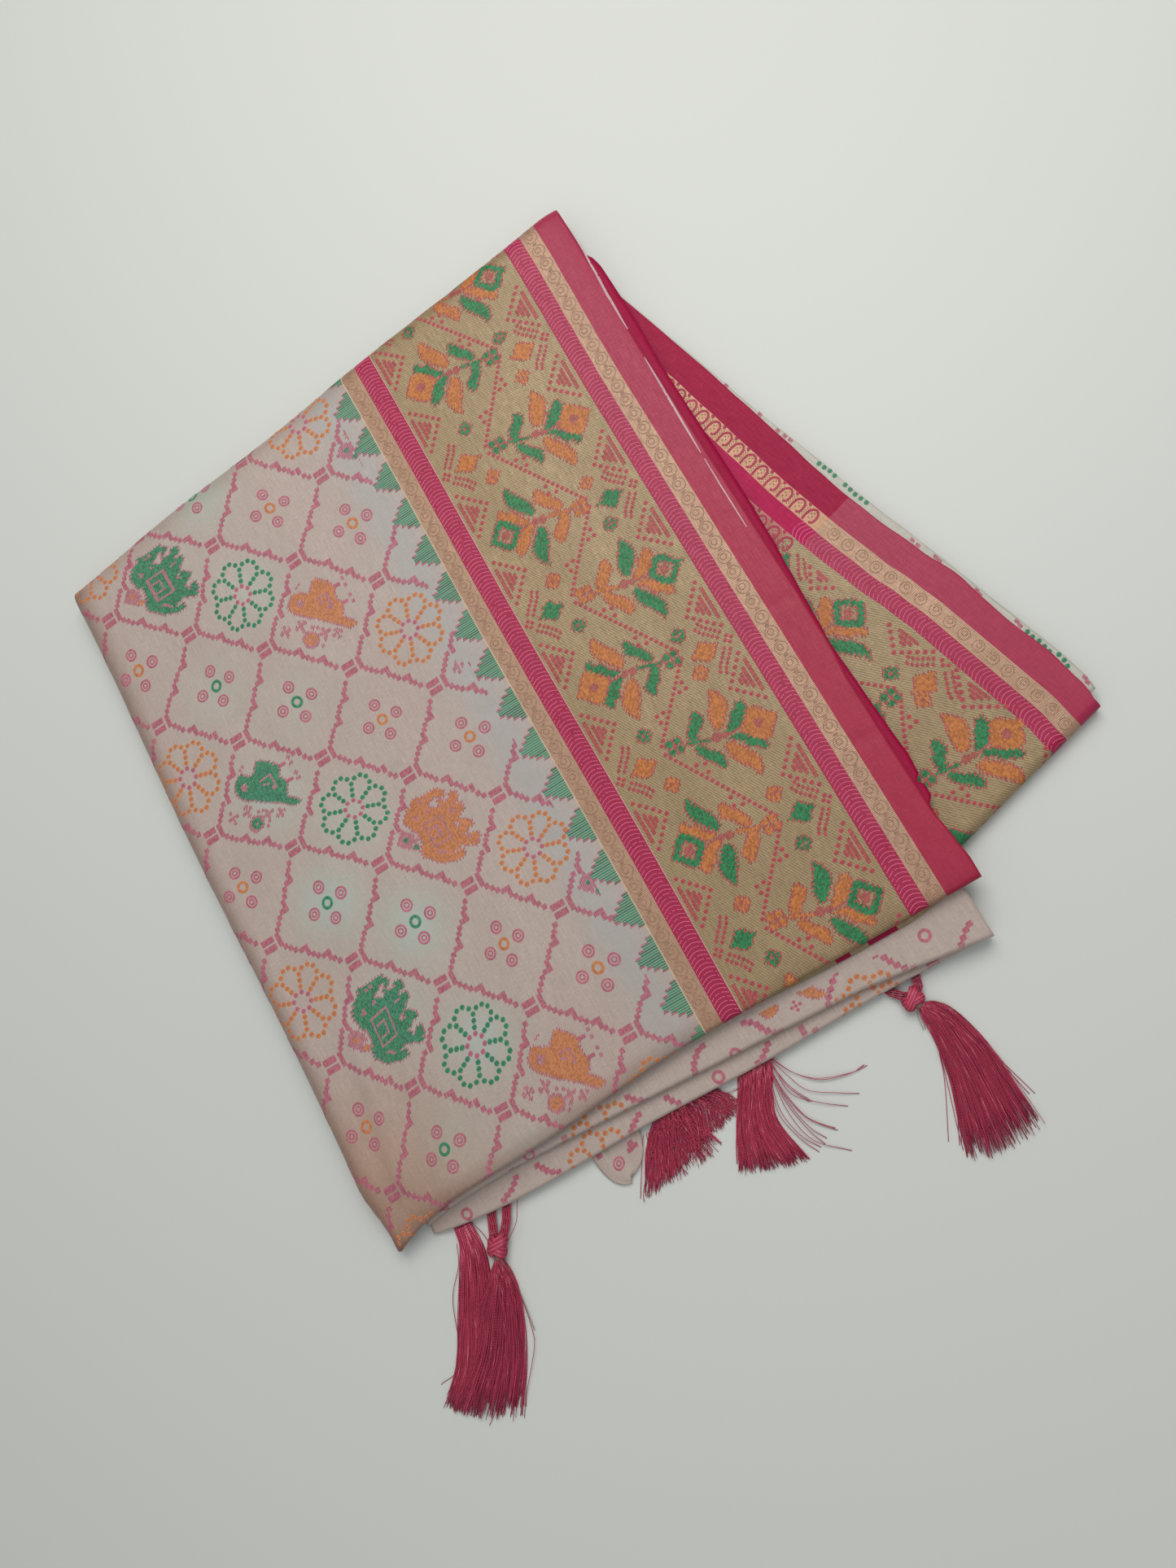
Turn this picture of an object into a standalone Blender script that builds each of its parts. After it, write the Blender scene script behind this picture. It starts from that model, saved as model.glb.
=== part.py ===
"""A folded patola saree that lies flat on a table.

The frame: +X runs along the weft towards the selvedge, +Y runs along the warp
towards the far fold, +Z is up, and the table is z = 0. All sizes are in metres.
Each stretch of cloth that shows is a thin wall, the hidden layers share one
rounded solid, and five silk tassels lie on the table along the near fold.
"""
import math

import bmesh
import bpy
from mathutils import Vector

# Cloth and stack
CLOTH = 0.0012
CLEAR = 0.0003
STACK = 0.0200
SECOND_TOP = 0.0185
CORE_TOP = 0.0170
TURNED_TOP = 0.0141
FAN_TOP = 0.0105
FAN_UNDER_TOP = 0.0090
LEDGE = 0.0075

# Outline of the top panel, at the outermost points of its folds
LEFT_FOLD_X = -0.1962
SELVEDGE_X = 0.1790
FAR_FOLD_Y = 0.2292
FAR_FOLD_SLOPE = 0.0617
NEAR_FOLD_Y = -0.2078
NEAR_FOLD_RADIUS = 0.0028
TAIL = 0.0100
NEAR_TAIL = 0.0080
ROLL_SHARE = 0.78
CORNER_POWER = 0.36

# The lower packet, fanned out about the far selvedge corner
FAN_CORNER = Vector((0.2744, -0.1631, 0.0))
FAN_TURN = math.radians(15.0)
FAN_WEFT = Vector((math.cos(FAN_TURN), math.sin(FAN_TURN), 0.0))
FAN_WARP = Vector((-math.sin(FAN_TURN), math.cos(FAN_TURN), 0.0))
FAN_INNER_X = 0.1735
FAN_LENGTH = 0.3600
FAN_UNDER_LENGTH = 0.3950
FAN_TAIL = 0.0080

# Hidden layers
CORE_RIGHT_X = 0.1700
CORE_NEAR_Y = -0.1865
LAYER = 0.00235
LAYER_GROOVE = 0.0012
CORE_POINTS = 84
CORNER_SHARPNESS = 40

# Near folds that show under the top panel's edge
STRIP_LEFT_X = -0.1720
STRIP_RIGHT_X = 0.1690
UPPER_STRIP_TOP = 0.0126
UPPER_STRIP_BASE = 0.0074
LOWER_STRIP_TOP = 0.0071
LOWER_STRIP_BASE = 0.0026

# Silk tassels
STRAND_COLUMNS = 12
STRAND_WIDTH = 0.0009
STRAND_HEIGHT = 0.0007
STRAND_ROW_STEP = 0.0012
STRAND_PARTING = 0.00012

# Colours, linear
BODY = (0.46, 0.36, 0.32)
GOLD_GROUND = (0.36, 0.27, 0.15)
RANI_PINK = (0.40, 0.08, 0.14)
PALE_UNDERSIDE = (0.50, 0.47, 0.42)
DARK_ROSE = (0.26, 0.03, 0.07)


def ease(value, start, end):
    """Goes smoothly from 0 at start to 1 at end."""
    share = min(max((value - start) / (end - start), 0.0), 1.0)
    return share * share * (3.0 - 2.0 * share)


def spread(*stretches):
    """Stations along a sheet: each stretch is (start, end, segments)."""
    stations = [stretches[0][0]]
    for start, end, segments in stretches:
        stations += [start + (end - start) * k / segments for k in range(1, segments + 1)]
    return stations


def material(name, colour, roughness=0.6):
    paint = bpy.data.materials.new(name)
    paint.use_nodes = True
    surface = paint.node_tree.nodes["Principled BSDF"]
    surface.inputs["Base Color"].default_value = (*colour, 1.0)
    surface.inputs["Roughness"].default_value = roughness
    surface.inputs["Metallic"].default_value = 0.0
    return paint


def add_object(name, bm, colour):
    mesh = bpy.data.meshes.new(name)
    bm.to_mesh(mesh)
    bm.free()
    mesh.materials.append(material(name, colour))
    obj = bpy.data.objects.new(name, mesh)
    bpy.context.scene.collection.objects.link(obj)
    return obj


def cloth_wall(name, across, along, place, colour):
    """A grid bent by place(u, v) and thickened away from its outer face."""
    columns = len(across) - 1
    rows = len(along) - 1
    bm = bmesh.new()
    bmesh.ops.create_grid(bm, x_segments=columns, y_segments=rows, size=1.0)
    for vert in bm.verts:
        column = round((vert.co.x + 1.0) / 2.0 * columns)
        row = round((vert.co.y + 1.0) / 2.0 * rows)
        vert.co = place(across[column], along[row])
    wall = add_object(name, bm, colour).modifiers.new("Wall", "SOLIDIFY")
    wall.thickness = CLOTH
    wall.offset = -1.0


# Edges of the top panel
def left_fold_x(y):
    return LEFT_FOLD_X - 0.0010 * math.sin(22.0 * y + 0.9)


def far_fold_y(x):
    return FAR_FOLD_Y + FAR_FOLD_SLOPE * x + 0.0008 * math.sin(40.0 * x)


def near_fold_y(x):
    bow = 0.0080 * ease(x, 0.020, -0.110)
    corner = 0.0170 * math.exp(-(x - LEFT_FOLD_X) / 0.026)
    return NEAR_FOLD_Y - bow - corner


def corner_sink(x, y):
    """The near left corner lies lower, because fewer layers reach it."""
    return 0.0070 * ease(x, -0.130, -0.190) * ease(y, -0.188, -0.222)


def selvedge_droop(x):
    return 0.0014 * max(0.0, (x - 0.168) / 0.0115) ** 2


def top_height(x, y):
    relief = 0.0004 * (1.0 + math.sin(31.0 * x + 1.0) * math.sin(24.0 * y))
    return STACK + relief * ease(abs(x), 0.175, 0.120) - corner_sink(x, y) - selvedge_droop(x)


def fold_down(radius, turn, tail, share):
    """How far out and how far down a fold is at a share of its way round."""
    angle = turn * min(share / ROLL_SHARE, 1.0)
    out = radius * math.sin(angle)
    down = radius * (1.0 - math.cos(angle))
    rest = tail * max(share - ROLL_SHARE, 0.0) / (1.0 - ROLL_SHARE)
    return out + rest * math.cos(angle), down + rest * math.sin(angle)


def top_panel_point(u, v):
    """u and v are sheet coordinates; past -1 or +1 they run round the folds.

    u is -1 at the left fold's start and +1 at the selvedge. v is -1 at the near
    fold's start and +1 at the far fold's start.
    """
    flat_u = min(max(u, -1.0), 1.0)
    flat_v = min(max(v, -1.0), 1.0)
    over_u = max(-1.0 - u, 0.0)
    over_v = max(abs(v) - 1.0, 0.0)
    far = v > 0.0
    across = (flat_u + 1.0) / 2.0
    along = (flat_v + 1.0) / 2.0

    x = LEFT_FOLD_X + STACK / 2.0
    x += across * (SELVEDGE_X - x)
    low_y = near_fold_y(x) + NEAR_FOLD_RADIUS
    high_y = far_fold_y(x) - STACK / 2.0
    y = low_y + along * (high_y - low_y)
    x += (left_fold_x(y) - LEFT_FOLD_X) * (1.0 - across)
    height = top_height(x, y)
    if over_u == 0.0 and over_v == 0.0:
        return Vector((x, y, height))

    share = max(over_u, over_v)
    swing = 0.5 * min(over_u, over_v) / share
    if over_v > over_u:
        swing = 1.0 - swing
    side_radius = height / 2.0
    end_radius = height / 2.0 if far else NEAR_FOLD_RADIUS
    end_tail = TAIL if far else NEAR_TAIL
    radius = side_radius + (end_radius - side_radius) * ease(swing, 0.0, 1.0)
    tail_length = TAIL + (end_tail - TAIL) * swing

    to_corner = x - LEFT_FOLD_X - STACK / 2.0 if over_v > over_u else min(y - low_y, high_y - y)
    if over_u > 0.0 and over_v > 0.0:
        to_corner = 0.0
    free = ease(to_corner, 0.0, 0.020)
    turn = math.radians(150.0 + 30.0 * free)
    tail_length = 0.0008 + (tail_length - 0.0008) * free
    out, down = fold_down(radius, turn, tail_length, share)
    side = max(math.cos(swing * math.pi / 2.0), 0.0) ** CORNER_POWER
    end = max(math.sin(swing * math.pi / 2.0), 0.0) ** CORNER_POWER
    if swing in (0.0, 1.0):
        side, end = 1.0 - swing, swing
    outward = out * end if far else -out * end
    return Vector((x - out * side, y + outward, max(height - down, 0.0)))


def top_panel():
    across = spread((-2.0, -1.0 - ROLL_SHARE, 2), (-1.0 - ROLL_SHARE, -1.0, 9),
                    (-1.0, -0.9, 2), (-0.9, 0.85, 9), (0.85, 1.0, 3))
    along = spread((-2.0, -1.0 - ROLL_SHARE, 2), (-1.0 - ROLL_SHARE, -1.0, 8),
                   (-1.0, -0.8, 4), (-0.8, 0.9, 10), (0.9, 1.0, 2),
                   (1.0, 1.0 + ROLL_SHARE, 9), (1.0 + ROLL_SHARE, 2.0, 2))
    cloth_wall("top_panel", across, along, top_panel_point, BODY)


def second_panel():
    """The next layer, which shows as a pink edge beside the selvedge."""
    left = LEFT_FOLD_X + 0.013

    def place(u, v):
        near = -0.184
        far = far_fold_y(u) - 0.0135
        y = near + v * (far - near)
        edge = 0.0042 * ease(u, 0.168, 0.1792) * (ease(y, -0.160, -0.150) - ease(y, 0.060, 0.200))
        return Vector((u + edge, y, SECOND_TOP - selvedge_droop(u + edge)))

    across = spread((left, 0.160, 6), (0.160, 0.1792, 4))
    along = spread((0.0, 0.05, 1), (0.05, 0.12, 3), (0.12, 1.0, 9))
    cloth_wall("second_panel", across, along, place, RANI_PINK)


def turned_edge():
    """The next fold of the border, a sliver under the near fold."""
    def place(u, v):
        shown = 0.0030 * ease(u, 0.020, 0.110) * ease(u, 0.170, 0.135)
        near = near_fold_y(u) + 0.0006 - shown
        return Vector((u, -0.190 + v * (near + 0.190), TURNED_TOP))

    across = spread((0.166, 0.020, 12))
    along = spread((0.0, 1.0, 3))
    cloth_wall("turned_edge", across, along, place, GOLD_GROUND)


# Near folds
def upper_strip_y(x):
    opening = 0.040 * max(x + 0.105, 0.0) + 0.080 * max(x - 0.100, 0.0)
    corner = 0.0050 * math.exp(-(x - STRIP_LEFT_X) / 0.020)
    return -0.2195 - opening - corner


def lower_strip_y(x):
    return -0.2350 + 0.0045 * math.exp(-(x - STRIP_LEFT_X) / 0.020) - 0.0006 * math.sin(45.0 * x)


def strip_squeeze(x):
    return 1.0 - 0.55 * ease(x, -0.130, -0.190)


def near_strip(name, edge, top, base, base_power):
    """A fold of the body that runs out past the top panel and back under."""
    def place(u, v):
        squeeze = strip_squeeze(u)
        height = top * squeeze
        radius = (height - base * squeeze ** base_power) / 2.0
        start = edge(u) + radius
        if v <= 0.0:
            return Vector((u, start - v * (-0.1905 - start), height))
        out, down = fold_down(radius, math.pi, 0.0065, v)
        return Vector((u, start - out, height - down))

    across = spread((STRIP_RIGHT_X, STRIP_LEFT_X, 22))
    along = spread((-1.0, 0.0, 3), (0.0, ROLL_SHARE, 8), (ROLL_SHARE, 1.0, 1))
    cloth_wall(name, across, along, place, BODY)


# Fanned packet
def fan_point(w, length, height):
    return FAN_CORNER + FAN_WEFT * w + FAN_WARP * length + Vector((0.0, 0.0, height))


def fan_inner(length):
    return (FAN_INNER_X - FAN_CORNER.x - FAN_WARP.x * length) / FAN_WEFT.x


def fan_selvedge(length):
    return 0.0032 * math.cos(math.pi * (length - 0.030) / 0.100) * ease(length, -0.010, 0.020)


def fan_under_selvedge(length):
    return 0.0064 - 0.0050 * math.exp(-((length - 0.210) / 0.055) ** 2)


def fan_droop(w):
    return 0.0010 * max(0.0, (w + 0.006) / 0.010) ** 2


def fan_panel():
    """The border stretch that shows beside the selvedge, folded down at its end."""
    radius = FAN_TOP / 2.0
    start = radius - 0.0015

    def place(u, v):
        length = start + max(v, 0.0)
        out, down = fold_down(radius, math.pi, FAN_TAIL, max(-v, 0.0))
        inner = fan_inner(start if v <= 0.0 else length)
        outer = fan_selvedge(length)
        w = inner + u * (outer - inner)
        droop = fan_droop(w) * ease(v, 0.0, 0.03)
        return fan_point(w, length - out, FAN_TOP - droop - down)

    across = spread((0.0, 0.85, 5), (0.85, 1.0, 4))
    along = spread((-1.0, -ROLL_SHARE, 1), (-ROLL_SHARE, 0.0, 9), (0.0, FAN_LENGTH, 14))
    cloth_wall("fan_panel", across, along, place, GOLD_GROUND)


def fan_under_panel():
    """The layer under it, a pale sliver along the fanned selvedge."""
    def place(u, v):
        inner = fan_inner(v)
        w = inner + u * (fan_under_selvedge(v) - inner)
        return fan_point(w, v, FAN_UNDER_TOP - fan_droop(w))

    across = spread((0.0, 0.85, 4), (0.85, 1.0, 4))
    along = spread((0.0065, FAN_UNDER_LENGTH, 14))
    cloth_wall("fan_under_panel", across, along, place, PALE_UNDERSIDE)


# Hidden layers
def reach(direction, sides):
    """How far a rounded polygon about the origin goes in one direction.

    Each side is (normal x, normal y, distance from the origin).
    """
    total = 0.0
    for normal_x, normal_y, distance in sides:
        facing = direction.x * normal_x + direction.y * normal_y
        total += (max(facing, 0.0) / distance) ** CORNER_SHARPNESS
    return total ** (-1.0 / CORNER_SHARPNESS)


def core_sides(height, groove):
    """Sides of the hidden layers at one height."""
    tucked = height < CLOTH + CLEAR
    middle = (height - STACK / 2.0) / 0.0084
    bulge = 0.0095 * math.sqrt(max(0.0, 1.0 - middle * middle))
    wrap = 0.0195 if tucked else 0.0115 - bulge
    left = -LEFT_FOLD_X - CLOTH - CLEAR - wrap
    far = FAR_FOLD_Y - 0.0012 - CLOTH - CLEAR - wrap
    lean = math.hypot(1.0, FAR_FOLD_SLOPE)
    sides = [(-1.0, 0.0, left),
             (-FAR_FOLD_SLOPE / lean, 1.0 / lean, far / lean),
             (0.0, -1.0, -CORE_NEAR_Y)]
    if height > LEDGE:
        return sides + [(1.0, 0.0, CORE_RIGHT_X - groove)]
    end_middle = (height - FAN_TOP / 2.0) / (FAN_TOP / 2.0 - CLOTH - CLEAR)
    end_inset = 0.0160 if tucked else 0.0090 - 0.0045 * math.sqrt(max(0.0, 1.0 - end_middle ** 2))
    return sides + [(FAN_WEFT.x, FAN_WEFT.y, FAN_CORNER.dot(FAN_WEFT) - 0.0035 - groove),
                    (-FAN_WARP.x, -FAN_WARP.y, -FAN_CORNER.dot(FAN_WARP) - end_inset)]


def core_levels():
    """Heights of the rings, with a groove between each layer and the next."""
    levels = [(0.0, 0.0), (0.0013, 0.0)]
    for base, top in ((0.0016, LEDGE), (LEDGE + 0.00005, CORE_TOP)):
        layers = round((top - base) / LAYER)
        levels.append((base, LAYER_GROOVE))
        for k in range(layers):
            low = base + (top - base) * k / layers
            high = base + (top - base) * (k + 1) / layers
            uneven = 0.0008 * math.sin(5.0 * k + 300.0 * base)
            levels.append((low + 0.1 * (high - low), LAYER_GROOVE))
            levels.append(((low + high) / 2.0, uneven))
        levels.append((top, LAYER_GROOVE))
    return levels


def folded_layers():
    """The layers that don't show, as one rounded solid layered at its edges."""
    bm = bmesh.new()
    rings = []
    for height, groove in core_levels():
        sides = core_sides(height, groove)
        ring = []
        for k in range(CORE_POINTS):
            direction = core_direction(k)
            point = direction * reach(direction, sides)
            ring.append(bm.verts.new((point.x, point.y, height)))
        rings.append(ring)
    for lower, upper in zip(rings, rings[1:]):
        for k in range(CORE_POINTS):
            after = (k + 1) % CORE_POINTS
            bm.faces.new((lower[k], lower[after], upper[after], upper[k]))
    bm.faces.new(rings[-1])
    bm.faces.new(list(reversed(rings[0])))
    add_object("folded_layers", bm, BODY)


def core_direction(k):
    """Directions that step evenly round a rectangle of the panel's shape."""
    width = SELVEDGE_X - LEFT_FOLD_X
    depth = FAR_FOLD_Y - NEAR_FOLD_Y
    way = 2.0 * (width + depth) * k / CORE_POINTS
    corners = ((width / 2.0, -depth / 2.0), (width / 2.0, depth / 2.0),
               (-width / 2.0, depth / 2.0), (-width / 2.0, -depth / 2.0))
    for start, end in zip(corners, corners[1:] + corners[:1]):
        length = math.dist(start, end)
        if way <= length:
            break
        way -= length
    return Vector(start).lerp(Vector(end), way / length).normalized()


def corner_flap():
    """A corner of an inner layer that lies on the table under the near folds."""
    def place(u, v):
        middle = Vector((-0.0520, -0.2120, 0.0)).lerp(Vector((-0.0603, -0.2545, 0.0)), v)
        half = 0.0170 * (1.0 - v) ** 0.75 + 0.0012
        lift = 0.0011 * ease(v, 0.75, 0.45) + 0.0006 * ease(v, 0.85, 1.0)
        return middle + Vector((half * u, 0.0040 * u * v * (1.0 - v), CLOTH + lift))

    across = spread((1.0, -1.0, 6))
    along = spread((0.0, 1.0, 7))
    cloth_wall("corner_flap", across, along, place, BODY)


# Silk tassels
def head_block(bm, sections, columns, rows, sideways):
    """A rounded block through sections, with a grid of cells on each end.

    Each section is (centre, half width, half height). Returns the cells of the
    last end and of the first one.
    """
    def corner(section, i, j):
        centre, half_width, half_height = section
        a = 2.0 * i / columns - 1.0
        b = 2.0 * j / rows - 1.0
        round_a = a * math.sqrt(1.0 - 0.35 * b * b)
        round_b = b * math.sqrt(1.0 - 0.35 * a * a)
        return centre + sideways * (round_a * half_width) + Vector((0.0, 0.0, round_b * half_height))

    def on_rim(i, j):
        return i in (0, columns) or j in (0, rows)

    grids = []
    for k, section in enumerate(sections):
        inner = k in (0, len(sections) - 1)
        grids.append({(i, j): bm.verts.new(corner(section, i, j))
                      for i in range(columns + 1) for j in range(rows + 1)
                      if inner or on_rim(i, j)})
    rim = [(i, 0) for i in range(columns)] + [(columns, j) for j in range(rows)]
    rim += [(i, rows) for i in range(columns, 0, -1)] + [(0, j) for j in range(rows, 0, -1)]
    for back, front in zip(grids, grids[1:]):
        for here, after in zip(rim, rim[1:] + rim[:1]):
            bm.faces.new((back[here], back[after], front[after], front[here]))
    front_cells = []
    back_cells = []
    for i in range(columns):
        for j in range(rows):
            square = ((i, j), (i + 1, j), (i + 1, j + 1), (i, j + 1))
            front_cells.append(bm.faces.new([grids[-1][key] for key in square]))
            back_cells.append(bm.faces.new([grids[0][key] for key in reversed(square)]))
    return front_cells, back_cells


def grow_strand(bm, cell, stops):
    """Draws one cell out through its stops, each (centre, width, height)."""
    centre = cell.calc_center_median()
    offsets = [vert.co - centre for vert in cell.verts]
    half_height = max(abs(offset.z) for offset in offsets)
    half_width = max(offset.xy.length for offset in offsets)
    for stop, width, height in stops:
        drawn = bmesh.ops.extrude_discrete_faces(bm, faces=[cell])
        cell = drawn["faces"][0]
        for vert, offset in zip(cell.verts, offsets):
            flat = Vector((offset.x, offset.y, 0.0)) * (width / (2.0 * half_width))
            vert.co = stop + flat + Vector((0.0, 0.0, offset.z * height / (2.0 * half_height)))


def tassel(name, sections, sideways, end, end_half, rows, floor, bend=0.0, legs=()):
    """A bound head with silk strands that fan out from it over the table.

    end is the middle of the strands' ends and end_half half their spread.
    floor is the height of the lowest row, and legs are the cords from which
    the head hangs.
    """
    bm = bmesh.new()
    cells, back_cells = head_block(bm, sections, STRAND_COLUMNS, rows, sideways)
    way = (end - sections[-1][0]).normalized()
    for leg in legs:
        cell = min(back_cells, key=lambda face: (face.calc_center_median() - leg[0][0]).length)
        back_cells.remove(cell)
        grow_strand(bm, cell, leg)
    bmesh.ops.inset_individual(bm, faces=cells, thickness=STRAND_PARTING)
    for number, cell in enumerate(cells):
        column, row = divmod(number, rows)
        across = 2.0 * (column + 0.5) / STRAND_COLUMNS - 1.0
        start = cell.calc_center_median()
        short = 0.004 * math.sin(2.4 * number) - 0.010 * across * across
        tip = end + sideways * (across * end_half) + way * short
        height = floor + STRAND_ROW_STEP * row
        stops = []
        for share in (0.45, 1.0):
            point = start.lerp(tip, share)
            point += sideways * bend * math.sin(math.pi * share)
            point.z = start.z + (height - start.z) * min(1.0, share * 1.9)
            stops.append((point, STRAND_WIDTH, STRAND_HEIGHT))
        grow_strand(bm, cell, stops)
    bmesh.ops.recalc_face_normals(bm, faces=bm.faces)
    add_object(name, bm, DARK_ROSE)


TASSELS = (
    # name, root x, root y, root half width, head length, end x, end y, end half, rows, floor
    ("tassel_1", -0.1560, -0.2342, 0.0070, 0.0060, -0.2010, -0.3040, 0.0130, 1, 0.0008),
    ("tassel_3", -0.0070, -0.2358, 0.0190, 0.0030, -0.0250, -0.2690, 0.0270, 2, 0.0008),
    ("tassel_4", 0.0320, -0.2361, 0.0125, 0.0035, 0.0130, -0.2830, 0.0180, 2, 0.0008),
)


def edge_tassels():
    """Tassels whose heads sit against the edge of the near fold."""
    for name, x, y, half, length, end_x, end_y, end_half, rows, floor in TASSELS:
        root = Vector((x, y, 0.0025))
        end = Vector((end_x, end_y, floor))
        high = 0.0007 + 0.0006 * rows
        sections = [(root, half * 0.86, high * 0.8),
                    (root + Vector((0.0, -0.5 * length, 0.0)), half, high),
                    (root + Vector((0.0, -length, 0.0)), half * 1.05, high)]
        tassel(name, sections, Vector((-1.0, 0.0, 0.0)), end, end_half, rows, floor)


KNOTTED = (
    # name, knot x, knot y, end x, end y, end half, floor, bend, leg ends (x, y)
    ("tassel_2", -0.1400, -0.2480, -0.1870, -0.3170, 0.0220, 0.0020, 0.0040,
     ((-0.1375, -0.2315), (-0.1270, -0.2315))),
    ("tassel_5", 0.1185, -0.2440, 0.1200, -0.3170, 0.0240, 0.0008, -0.0040,
     ((0.1110, -0.2315), (0.1250, -0.2315))),
)


def knotted_tassels():
    """Tassels that hang from two cords tied in a knot."""
    for name, x, y, end_x, end_y, end_half, floor, bend, leg_ends in KNOTTED:
        knot = Vector((x, y, 0.0042))
        end = Vector((end_x, end_y, floor))
        way = Vector((end.x - x, end.y - y, 0.0)).normalized()
        sections = [(knot - way * 0.0045, 0.0022, 0.0014),
                    (knot - way * 0.0030, 0.0042, 0.0028),
                    (knot, 0.0052, 0.0035),
                    (knot + way * 0.0030, 0.0042, 0.0028),
                    (knot + way * 0.0050, 0.0030, 0.0018),
                    (knot + way * 0.0075, 0.0048, 0.0022),
                    (knot + way * 0.0110, 0.0062, 0.0022)]
        legs = []
        for leg_x, leg_y in leg_ends:
            foot = Vector((leg_x, leg_y, 0.0014))
            near = foot.lerp(sections[0][0], 0.60)
            near.z = 0.0020
            legs.append(((near, 0.0026, 0.0016), (foot, 0.0036, 0.0014)))
        sideways = Vector((way.y, -way.x, 0.0))
        tassel(name, sections, sideways, end, end_half, 2, floor, bend, legs)


def main():
    for obj in list(bpy.data.objects):
        bpy.data.objects.remove(obj, do_unlink=True)
    folded_layers()
    second_panel()
    top_panel()
    turned_edge()
    near_strip("upper_strip", upper_strip_y, UPPER_STRIP_TOP, UPPER_STRIP_BASE, 1.0)
    near_strip("lower_strip", lower_strip_y, LOWER_STRIP_TOP, LOWER_STRIP_BASE, 2.0)
    fan_under_panel()
    fan_panel()
    corner_flap()
    edge_tassels()
    knotted_tassels()


main()
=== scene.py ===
"""A folded patola saree that lies flat on a pale table, dressed for a close render.

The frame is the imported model's: +X runs along the weft towards the selvedge, +Y
along the warp towards the far fold, +Z up, and the table is z = 0, in metres.
"""
import random
from bisect import bisect_right
from math import cos, dist, exp, floor, hypot, pi, radians, sin, sqrt, tau

import bpy
from mathutils import Matrix, Vector


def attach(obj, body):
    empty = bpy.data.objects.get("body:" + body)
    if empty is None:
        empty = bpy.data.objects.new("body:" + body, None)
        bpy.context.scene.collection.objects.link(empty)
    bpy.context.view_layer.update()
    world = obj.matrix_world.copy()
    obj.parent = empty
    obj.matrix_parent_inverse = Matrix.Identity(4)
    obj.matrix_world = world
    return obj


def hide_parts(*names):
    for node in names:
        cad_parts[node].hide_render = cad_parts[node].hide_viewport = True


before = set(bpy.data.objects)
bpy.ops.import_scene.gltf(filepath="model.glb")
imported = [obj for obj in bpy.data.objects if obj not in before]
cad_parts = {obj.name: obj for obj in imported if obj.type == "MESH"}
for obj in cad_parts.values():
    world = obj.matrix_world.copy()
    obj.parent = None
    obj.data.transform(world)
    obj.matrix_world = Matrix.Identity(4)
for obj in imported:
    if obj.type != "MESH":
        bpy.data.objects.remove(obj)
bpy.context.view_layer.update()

# The solids' own sizes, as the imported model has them
STACK = 0.0200
SECOND_TOP = 0.0185
CORE_TOP = 0.0170
TURNED_TOP = 0.0141
FAN_TOP = 0.0105
FAN_UNDER_TOP = 0.0090
LEDGE = 0.0075
CLOTH = 0.0012
CLEAR = 0.0003
LEFT_FOLD_X = -0.1962
SELVEDGE_X = 0.1790
FAR_FOLD_Y = 0.2292
FAR_FOLD_SLOPE = 0.0617
NEAR_FOLD_Y = -0.2078
NEAR_FOLD_RADIUS = 0.0028
TAIL = 0.0100
NEAR_TAIL = 0.0080
ROLL_SHARE = 0.78
CORNER_POWER = 0.36
FAN_CORNER = Vector((0.2744, -0.1631, 0.0))
FAN_TURN = radians(15.0)
FAN_WEFT = Vector((cos(FAN_TURN), sin(FAN_TURN), 0.0))
FAN_WARP = Vector((-sin(FAN_TURN), cos(FAN_TURN), 0.0))
FAN_INNER_X = 0.1735
FAN_LENGTH = 0.3600
FAN_UNDER_LENGTH = 0.3950
FAN_TAIL = 0.0080
CORE_RIGHT_X = 0.1700
CORE_NEAR_Y = -0.1865
LAYER = 0.00235
LAYER_GROOVE = 0.0012
CORNER_SHARPNESS = 40
STRIP_LEFT_X = -0.1720
STRIP_RIGHT_X = 0.1690
UPPER_STRIP = (0.0126, 0.0074, 1.0)
LOWER_STRIP = (0.0071, 0.0026, 2.0)

# The silk is far thinner than the solids' walls
SILK = 0.0005

# Millimetres in a metre, and the way up
MM = 1000.0
UP = Vector((0.0, 0.0, 1.0))

# Where the second panel's edge is before it wanders
SECOND_X = 0.1792
# Close to a corner the top panel's folds turn by fewer degrees and have a shorter tail
FREE_FROM_CORNER = 0.020
CORNER_TURN = 150.0
CORNER_TAIL = 0.0008
# The least width of a band of the fan
NARROWEST_BAND = 0.0005
# The scale at which a wave texture has one wave a millimetre
WAVE_MM = 0.314

# The colour a shaded fold's silk goes to
SHADED = "B49484"


def clamp(value, low=0.0, high=1.0):
    return min(max(value, low), high)


def ease(value, start, end):
    """Goes smoothly from 0 at start to 1 at end."""
    share = clamp((value - start) / (end - start))
    return share * share * (3.0 - 2.0 * share)


def spread(*stretches):
    """Stations along a sheet: each stretch is (start, end, segments)."""
    stations = [stretches[0][0]]
    for start, end, segments in stretches:
        stations += [start + (end - start) * k / segments for k in range(1, segments + 1)]
    return stations


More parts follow.
